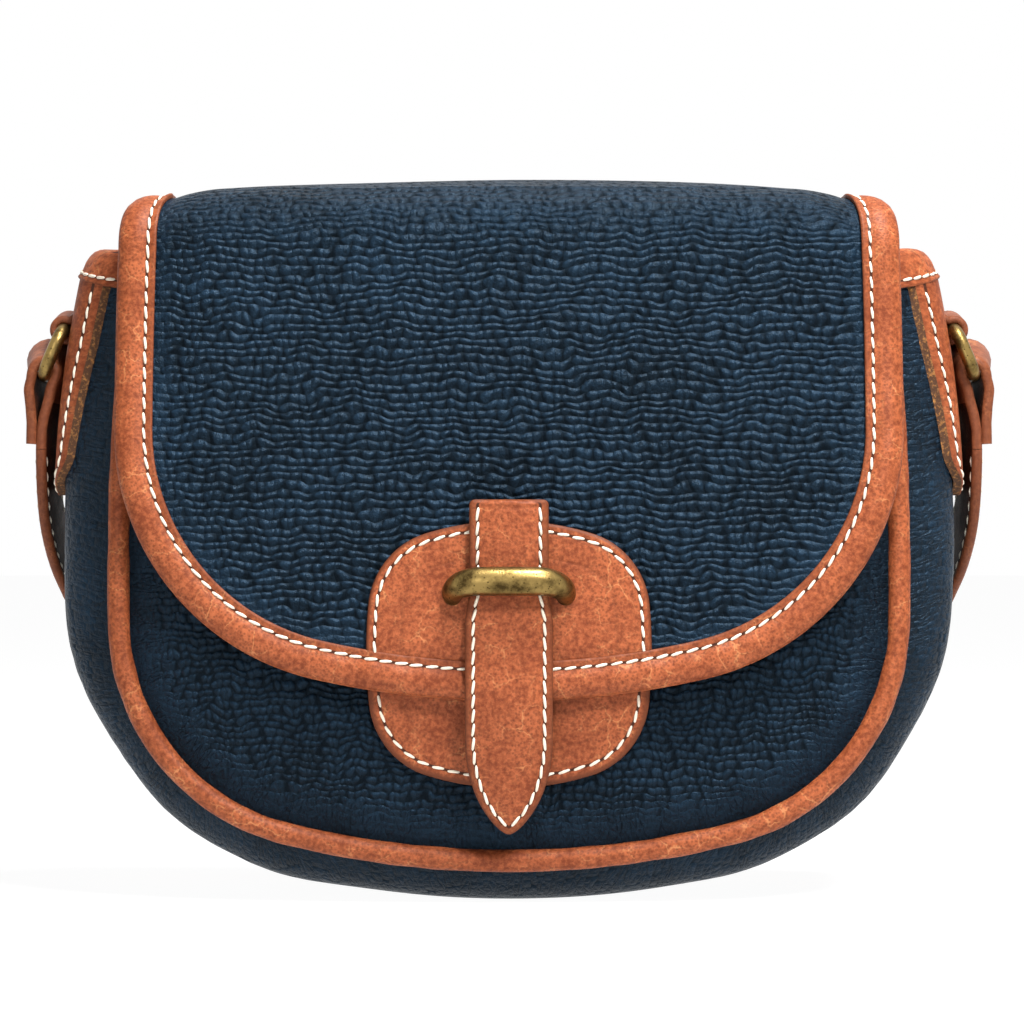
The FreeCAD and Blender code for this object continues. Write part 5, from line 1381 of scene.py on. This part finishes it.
def strap_level(q, out):
    """Distance off the seam plane and height in it, of the closing strap's middle at q mm down its length.

    It is straight, then turns in through an arc about a centre behind it, then is straight again."""
    q, out = np.broadcast_arrays(q, out)
    first = STRAP_TOP - STRAP_BEND
    turn = np.clip((q - first) / STRAP_BEND_RADIUS, 0.0, STRAP_BEND_TURN)
    rest = np.maximum(q - first - STRAP_BEND_RADIUS * STRAP_BEND_TURN, 0.0)
    reach = STRAP_BEND_RADIUS + out
    off = STRAP_INNER_OUT - STRAP_BEND_RADIUS + reach * np.cos(turn) - rest * math.sin(STRAP_BEND_TURN)
    return off, STRAP_TOP - np.minimum(q, first) - reach * np.sin(turn) - rest * math.cos(STRAP_BEND_TURN)


def strap_place(x, q, out):
    """Puts a point of the closing strap in space: x across, q down its length, out mm off its inner face."""
    off, z = strap_level(q, out)
    return on_seam(FRONT, x, z, off)


def strap_half_width(q):
    """Half width of the closing strap: round top corners, a step out, then (1 - t ** 2.1) ** 0.68."""
    z = strap_level(q, 0.0)[1]
    body = np.interp(z, [74.0, 80.5], [11.4, 10.3])
    share = np.clip((STRAP_SHOULDER - z) / (STRAP_SHOULDER - STRAP_TIP), 0.0, 1.0)
    corner = np.clip(1.5 - np.asarray(q), 0.0, 1.5)
    return body * (1.0 - share ** 2.1) ** 0.68 - (1.5 - np.sqrt(2.25 - corner ** 2))


class HANDBAG_OT_closure(bpy.types.Operator):
    """The patch in its two halves, the closing strap, the keeper and the snap"""
    bl_idname = "handbag.closure"
    bl_label = "Closure"

    def execute(self, context):
        self.flap_patch()
        self.body_patch()
        self.closing_strap()
        self.keeper()
        for node in ("staple_plate", "snap_stud", "snap_socket", "snap_plate"):
            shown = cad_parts[node]
            shown.data.materials.clear()
            shown.data.materials.append(antique_brass())
        return {"FINISHED"}

    def patch_grid(self, top, stretch, sewn, burnish):
        """Patch half in its plane: points, the height of its rounded face, its marks and its sewing line."""
        half = half_outline(PATCH, top, (26, 40, 34))
        half[:, 1] = PATCH["widest"] + (half[:, 1] - PATCH["widest"]) * stretch
        insets = np.array([0.0, 0.2, 0.55, 1.0, 1.6, 2.2, 2.8, 3.4, 4.2, 5.5, 7.0, 8.3, 8.7, 9.0, 9.3, 9.7,
                           11.5, 14.5, 17.5])
        points, depth = inset_grid(half, insets, 24)
        face = 1.8 - 0.55 * np.exp(-depth / 0.35) - 0.25 * np.exp(-((depth - sewn) / 0.5) ** 2)
        # A line is pressed in 9 mm from the edge
        crease = np.exp(-((depth - 9.0) / 0.35) ** 2)
        face = face - 0.1 * crease + 0.25 * np.clip(depth / 25.0, 0.0, 1.0)
        rim = 0.95 * np.exp(-(depth / burnish) ** 4)
        marks = {"seam": depth - sewn, "edge": np.maximum(rim, 0.3 * crease)}
        sewing = half - sewn * outward(half)
        sewing[-1, 0] = 0.0
        return points, face, marks, both_sides(sewing)

    def flap_patch(self):
        """The upper half of the patch, on the flap; it thins toward the binding over its lower edge."""
        points, face, marks, sewing = self.patch_grid(PATCH["widest"] + 2.4, 1.03, 2.2, 0.8)
        flip = 2.0 * PATCH["widest"]
        x = points[..., 0]
        z = flip - points[..., 1]
        s = (z - FLAP_LEG_TOP) / LEAN_COS
        thin = np.clip((z - 62.0) / 6.0, 0.0, 1.0)
        out = PATCH_ON_FLAP + face * (0.35 + 0.65 * thin)
        piece = new_grid("Flap_patch", on_flap(x, s, out), points, marks)
        thicken(piece, PATCH_HIDE, rim_slot=1)
        dress(piece, [tan_leather(), burnished_edge()], ["flap_patch"])
        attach(piece, "flap_fall")
        keep = (flip - sewing[:, 1]) > 65.5
        line_x = sewing[keep, 0]
        line_s = (flip - sewing[keep, 1] - FLAP_LEG_TOP) / LEAN_COS
        line = on_flap(line_x, line_s, PATCH_ON_FLAP + PATCH_STITCHES)
        normal = unit(on_flap(line_x, line_s, 3.6) - line)
        stitches("Flap_patch_stitches", [stitch_row(line, normal, PATCH_PITCH)], "flap_fall")

    def body_patch(self):
        """The lower half of the patch, on the front panel's pillow."""
        points, face, marks, sewing = self.patch_grid(PATCH["widest"], 1.05, 2.8, 1.5)
        bottom = saddle_arcs(SEAM)[4]

        def pillow_at(x, z):
            return front_pillow(SEAM["bottom_radius"] - np.hypot(x, z - bottom[1]))

        x = points[..., 0]
        z = points[..., 1]
        out = pillow_at(x, z) + PATCH_ON_PANEL + face
        piece = new_grid("Body_patch", on_seam(FRONT, x, z, out), points, marks)
        thicken(piece, PATCH_HIDE, rim_slot=1)
        dress(piece, [tan_leather(), burnished_edge()], ["body_patch"])
        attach(piece, "bag")
        sewing = sewing[sewing[:, 1] < 64.0]
        rise = pillow_at(sewing[:, 0], sewing[:, 1]) + PATCH_ON_PANEL + PATCH_STITCHES
        line = on_seam(FRONT, sewing[:, 0], sewing[:, 1], rise)
        normal = np.broadcast_to([0.0, -LEAN_COS, LEAN_SIN], line.shape)
        stitches("Body_patch_stitches", [stitch_row(line, normal, PATCH_PITCH)], "bag")

    def closing_strap(self):
        """The closing strap: rows down its length, columns across it, crowned, with rounded edges."""
        tip = STRAP_LENGTH - 14.0 * (1.0 - np.linspace(0.0, 1.0, 40)) ** 2
        q = np.concatenate([np.linspace(0.0, 1.5, 10), np.linspace(2.0, 72.5, 90), tip])[:, None]
        wide = strap_half_width(q)
        a = np.concatenate([-1.0 + 0.28 * np.linspace(0.0, 1.0, 15) ** 1.4, np.linspace(-0.68, 0.68, 21),
                            1.0 - 0.28 * np.linspace(1.0, 0.0, 15) ** 1.4])[None]
        x = a * wide
        slope = np.gradient(wide[:, 0], q[:, 0])[:, None]
        side = (1.0 - np.abs(a)) * wide / np.sqrt(1.0 + slope ** 2)
        depth = np.minimum(side, q + 0.05)
        rounding = np.clip(wide / 5.0, 0.0, 1.0) ** 2
        drop = 0.75 * np.exp(-depth / 0.5) + 0.25 * np.exp(-((depth - CLOSING_INSET) / 0.5) ** 2)
        face = STRAP_THICKNESS - rounding * drop + 0.7 * eased((side - 2.3) / 5.0)
        flat = np.stack(np.broadcast_arrays(x, -q), axis=-1)
        edge = 0.45 * eased((1.9 - side) / 0.4) + 0.45 * np.exp(-(depth / 0.7) ** 2)
        marks = {"seam": np.where(q + 0.0 * a < 0.8, NO_SEAM, side - CLOSING_INSET), "edge": edge}
        piece = new_grid("Closing_strap", strap_place(x, q, face), flat, marks)
        thicken(piece, STRAP_HIDE, rim_slot=1, inner_slot=1)
        dress(piece, [tan_leather(), burnished_edge()], ["closing_strap", "closing_tab"])
        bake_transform(piece)
        half = np.concatenate([wide, q], axis=1)[10:]
        along = unit(np.gradient(half, axis=0))
        inner = half + CLOSING_INSET * np.stack([-along[:, 1], along[:, 0]], axis=-1)
        inner = inner[inner[:, 0] > 0.15]
        rows = []
        for sign in (-1.0, 1.0):
            line = strap_place(sign * inner[:, 0], inner[:, 1], STRAP_THICKNESS - 0.1)
            normal = unit(strap_place(sign * inner[:, 0], inner[:, 1], STRAP_THICKNESS + 1.0) - line)
            rows.append(stitch_row(line, normal, CLOSING_PITCH, 0.14 * sign))
        stitches("Closing_strap_stitches", rows, bend=STRAP_FOLD)

    def keeper(self):
        """The keeper: an oval wire along a staple-shaped path, its feet a little lower than its bar."""
        leg = 14.7
        corner = 7.6
        bar = 24.3
        foot = 14.2
        height = 84.0
        turn = np.linspace(0.0, PI / 2.0, 15)
        up = np.stack([np.full(10, -leg), np.linspace(foot, bar - corner, 10, endpoint=False)], axis=-1)
        bend_x = -leg + corner - corner * np.cos(turn)
        bend = np.stack([bend_x, bar - corner + corner * np.sin(turn)], axis=-1)
        flat_x = np.linspace(-leg + corner, 0.0, 14)[1:]
        bow = np.stack([flat_x, bar + 0.25 * (1.0 - (flat_x / (leg - corner)) ** 2)], axis=-1)
        half = np.concatenate([up, bend, bow])
        whole = np.concatenate([half, half[-2::-1] * (-1.0, 1.0)])
        droop = height - 0.4 * np.maximum(bar - whole[:, 1], 0.0)
        path = on_seam(FRONT, whole[:, 0], droop, whole[:, 1])
        rise, across = path_axes(path, np.broadcast_to([0.0, -LEAN_SIN, LEAN_COS], path.shape))
        thick = 3.1 + 0.65 * np.clip(1.0 - (whole[:, 0] / 15.0) ** 4, 0.0, 1.0)
        piece = tube("Keeper", path, rise, across, thick, sides=28, flatten=0.88)
        dress(piece, [antique_brass()], ["staple"])
        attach(piece, "flap_fall")


# Sides: anchors, loops, rings and strap ends

def mirrored(points, sign):
    """Points made for the left side, put on the left (-1) or right (1)."""
    return points * (-sign, 1.0, 1.0)


class HANDBAG_OT_sides(bpy.types.Operator):
    """Anchors, ring loops, rings and the strap's folded ends, left and right"""
    bl_idname = "handbag.sides"
    bl_label = "Rings and anchors"

    def execute(self, context):
        for side, sign in (("left", -1.0), ("right", 1.0)):
            self.anchor(side, sign)
            self.ring_loop(side, sign)
            self.ring(side, sign)
            self.strap_end(side, sign)
        return {"FINISHED"}

    def anchor(self, side, sign):
        """The anchor: rows down the gusset, columns across its half width, which tapers and ends round.

        Each row runs across the face, down the raw front edge, back underneath and up the raw rear edge."""
        tip = ANCHOR_ROUND - ANCHOR_END * np.sin(np.linspace(0.0, PI / 2.0, 16))[1:]
        middle = np.concatenate([np.linspace(ANCHOR_TOP, ANCHOR_ROUND, 46), tip])[:, None]
        taper = np.interp(middle, [ANCHOR_ROUND, 150.0], [ANCHOR_HALF_WIDTH, ANCHOR_HALF_WIDTH + 1.5])
        past = np.clip(ANCHOR_ROUND - middle, 0.0, ANCHOR_END) / (ANCHOR_END + 0.02)
        end = np.sqrt(np.maximum(1.0 - past ** 2, 0.0)) * ANCHOR_HALF_WIDTH
        wide = np.where(middle < ANCHOR_ROUND, end, taper)
        across = np.concatenate([np.linspace(-1.0, -0.7, 12), np.linspace(-0.65, 0.65, 17),
                                 np.linspace(0.7, 1.0, 12)])
        under = np.linspace(1.0, -1.0, 15)
        a = np.concatenate([across, under, across[:1]])[None]
        y = a * wide
        z = middle - 3.5 * a ** 2 * np.clip((middle - ANCHOR_ROUND) / (ANCHOR_TOP - ANCHOR_ROUND), 0.0, 1.0)
        depth = (1.0 - np.abs(a)) * wide
        sewn = 2.0
        face = 2.75 - 0.4 * np.exp(-depth / 0.4) - 0.15 * np.exp(-((depth - sewn) / 0.5) ** 2)
        slot = np.exp(-((z - RING_BAR[1]) / 4.5) ** 4) * np.exp(-(y / 9.8) ** 6)
        below = np.zeros(a.shape[1], bool)
        below[len(across):-1] = True
        x = gusset_x(z, y) + np.where(below[None], 0.1, face - 0.7 * slot)
        points = np.stack(np.broadcast_arrays(sign * x, y, z), axis=-1)
        flat = np.stack(np.broadcast_arrays(y, z), axis=-1)
        marks = {"seam": depth - sewn, "edge": 0.4 * np.exp(-depth / 0.4)}
        raw = (below[1:] | below[:-1]).astype(int)
        slots = np.broadcast_to(raw, (len(z) - 1, len(raw)))
        piece = new_rods("Anchor_" + side, points, flat, marks, slots)
        piece.data.set_sharp_from_angle(angle=math.radians(25.0))
        dress(piece, [tan_leather(), raw_edge()], ["anchor_" + side])
        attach(piece, "bag")
        sew_z = z[2:-5, 0]
        sew_y = wide[2:-5, 0] - sewn
        loop_y = np.concatenate([-sew_y, sew_y[::-1]])
        loop_z = np.concatenate([sew_z, sew_z[::-1]])
        line = np.stack([sign * (gusset_x(loop_z, loop_y) + 2.6), loop_y, loop_z], axis=-1)
        more = np.stack([sign * (gusset_x(loop_z, loop_y * 1.06) + 2.6), loop_y * 1.06, loop_z], axis=-1)
        lean = unit(more - line)
        level = np.cross(lean, np.broadcast_to([0.0, 0.0, 1.0], lean.shape))
        face = unit(level * np.sign(level[:, :1] * sign))
        stitches("Anchor_stitches_" + side, [stitch_row(line, face, PATCH_PITCH)], "bag")

    def ring_loop(self, side, sign):
        """The leather loop round the ring's inner bar: out of the anchor, round the bar and back in."""
        radius = RING_WIRE + 0.02 + 0.95
        turn = np.radians(np.linspace(58.0, 302.0, 40))
        round_bar = np.array(RING_BAR) + radius * np.stack([np.cos(turn), np.sin(turn)], axis=-1)
        start = np.array([[-112.6, 157.2], [-114.6, 156.4], [-116.3, 155.6]])
        end = np.array([[-116.6, 148.3], [-115.4, 147.4], [-113.8, 146.4]])
        line = np.concatenate([start, round_bar, end])
        path = np.stack([line[:, 0], np.zeros(len(line)), line[:, 1]], axis=-1)
        path = resampled(path, np.linspace(0.0, run_length(path)[-1], 56))
        wide = np.broadcast_to([0.0, 1.0, 0.0], path.shape)

        def rise(normal, section):
            up = np.maximum(sign * normal[:, 2:], 0.0)
            return sign * 2.4 * (sign * section[None, :, 1] > 0.0) * up * (section[None, :, 0] + 9.0) / 18.0

        piece = ribbon("Ring_loop_" + side, mirrored(path, sign), wide, strap_section(9.0, 1.9, 0.05), rise,
                       inner_face(sign, len(path)))
        dress(piece, [brown_leather(), dark_leather()], ["ring_loop_" + side])
        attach(piece, "bag")

    def ring(self, side, sign):
        """The ring: a wire along a rounded rectangle in a plane that hangs out from the bar."""
        wide = 12.5
        corner = 4.6
        loop = rounded_rectangle(wide, RING_LENGTH / 2.0, corner, 10) + (0.0, RING_LENGTH / 2.0)
        loop = resampled(loop, np.linspace(0.0, run_length(loop)[-1], 97))
        down = np.array([-math.cos(RING_FALL), 0.0, -math.sin(RING_FALL)])
        bar = np.array([RING_BAR[0], 0.0, RING_BAR[1]])
        path = bar + loop[:, 1:] * down + loop[:, :1] * np.array([0.0, 1.0, 0.0])
        plane = np.broadcast_to(np.cross(down, [0.0, 1.0, 0.0]), path.shape)
        across = np.cross(loop_tangent(path), plane)
        piece = tube("Ring_" + side, mirrored(path, sign), mirrored(across, sign), mirrored(plane, sign),
                     RING_WIRE, sides=20, looped=True)
        dress(piece, [antique_brass()], ["ring_" + side])
        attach(piece, side + "_ring")

    def strap_end(self, side, sign):
        """The strap's end: up from the strap, round the ring's outer bar and down again as a tail."""
        bar = np.array(RING_BAR) + RING_LENGTH * np.array([-math.cos(RING_FALL), -math.sin(RING_FALL)])
        radius = RING_WIRE + 0.05 + SHOULDER_THICKNESS / 2.0
        turn = np.radians(np.linspace(-14.0, 194.0, 36))
        over = bar + radius * np.stack([np.cos(turn), np.sin(turn)], axis=-1)
        main = np.array([[-124.8, 120.0], [-124.7, 125.0], [-124.0, 129.0], [-122.8, 133.4]])
        tail = np.array([[-127.8, 136.0], [-127.3, 131.5], [-127.0, 127.0], [-127.1, 121.4]])
        line = np.concatenate([main, over, tail])
        path = np.stack([line[:, 0], np.zeros(len(line)), line[:, 1]], axis=-1)
        path = resampled(path, np.linspace(0.0, run_length(path)[-1], 70))
        turned = np.where(np.arange(len(path)) < 35, 1.0, 1.35) * TWIST * eased((141.5 - path[:, 2]) / 6.0)
        wide = np.stack([-sign * np.sin(turned), np.cos(turned), np.zeros(len(path))], axis=-1)

        def rise(normal, section):
            up = np.maximum(sign * normal[:, 2:], 0.0)
            return sign * 6.2 * up * (section[None, :, 0] + SHOULDER_HALF_WIDTH) / (2.0 * SHOULDER_HALF_WIDTH)

        inside = np.ones(len(path))
        leg = (np.arange(len(path)) < 18).astype(float)
        dark = np.stack([inside, leg] if sign < 0.0 else [leg, inside], axis=-1)
        piece = ribbon("Strap_end_" + side, mirrored(path, sign), wide,
                       strap_section(SHOULDER_HALF_WIDTH, SHOULDER_THICKNESS, 0.1), rise, dark)
        dress(piece, [brown_leather(), dark_leather()], ["strap_end_" + side])
        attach(piece, side + "_ring")


class HANDBAG_PT_panel(bpy.types.Panel):
    """Sizes, colours and steps of the handbag"""
    bl_idname = "HANDBAG_PT_panel"
    bl_label = "Saddle handbag"
    bl_space_type = "VIEW_3D"
    bl_region_type = "UI"
    bl_category = "Handbag"

    def draw(self, context):
        for group in (context.scene.handbag_sizes, context.scene.handbag_colours):
            for name in group.__annotations__:
                self.layout.prop(group, name)
        for step in STEPS:
            self.layout.operator(step.bl_idname)


STEPS = (HANDBAG_OT_stage, HANDBAG_OT_shoulder_strap, HANDBAG_OT_body, HANDBAG_OT_flap, HANDBAG_OT_closure,
         HANDBAG_OT_sides)
CLASSES = (HandbagSizes, HandbagColours) + STEPS + (HANDBAG_PT_panel,)


def register():
    for entry in CLASSES:
        bpy.utils.register_class(entry)
    bpy.types.Scene.handbag_sizes = bpy.props.PointerProperty(type=HandbagSizes)
    bpy.types.Scene.handbag_colours = bpy.props.PointerProperty(type=HandbagColours)


def unregister():
    del bpy.types.Scene.handbag_colours
    del bpy.types.Scene.handbag_sizes
    for entry in reversed(CLASSES):
        bpy.utils.unregister_class(entry)


def main():
    register()
    bpy.ops.handbag.stage()
    bpy.ops.handbag.shoulder_strap()
    bpy.ops.handbag.body()
    bpy.ops.handbag.flap()
    bpy.ops.handbag.closure()
    bpy.ops.handbag.sides()
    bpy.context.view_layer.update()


if __name__ == "__main__":
    main()
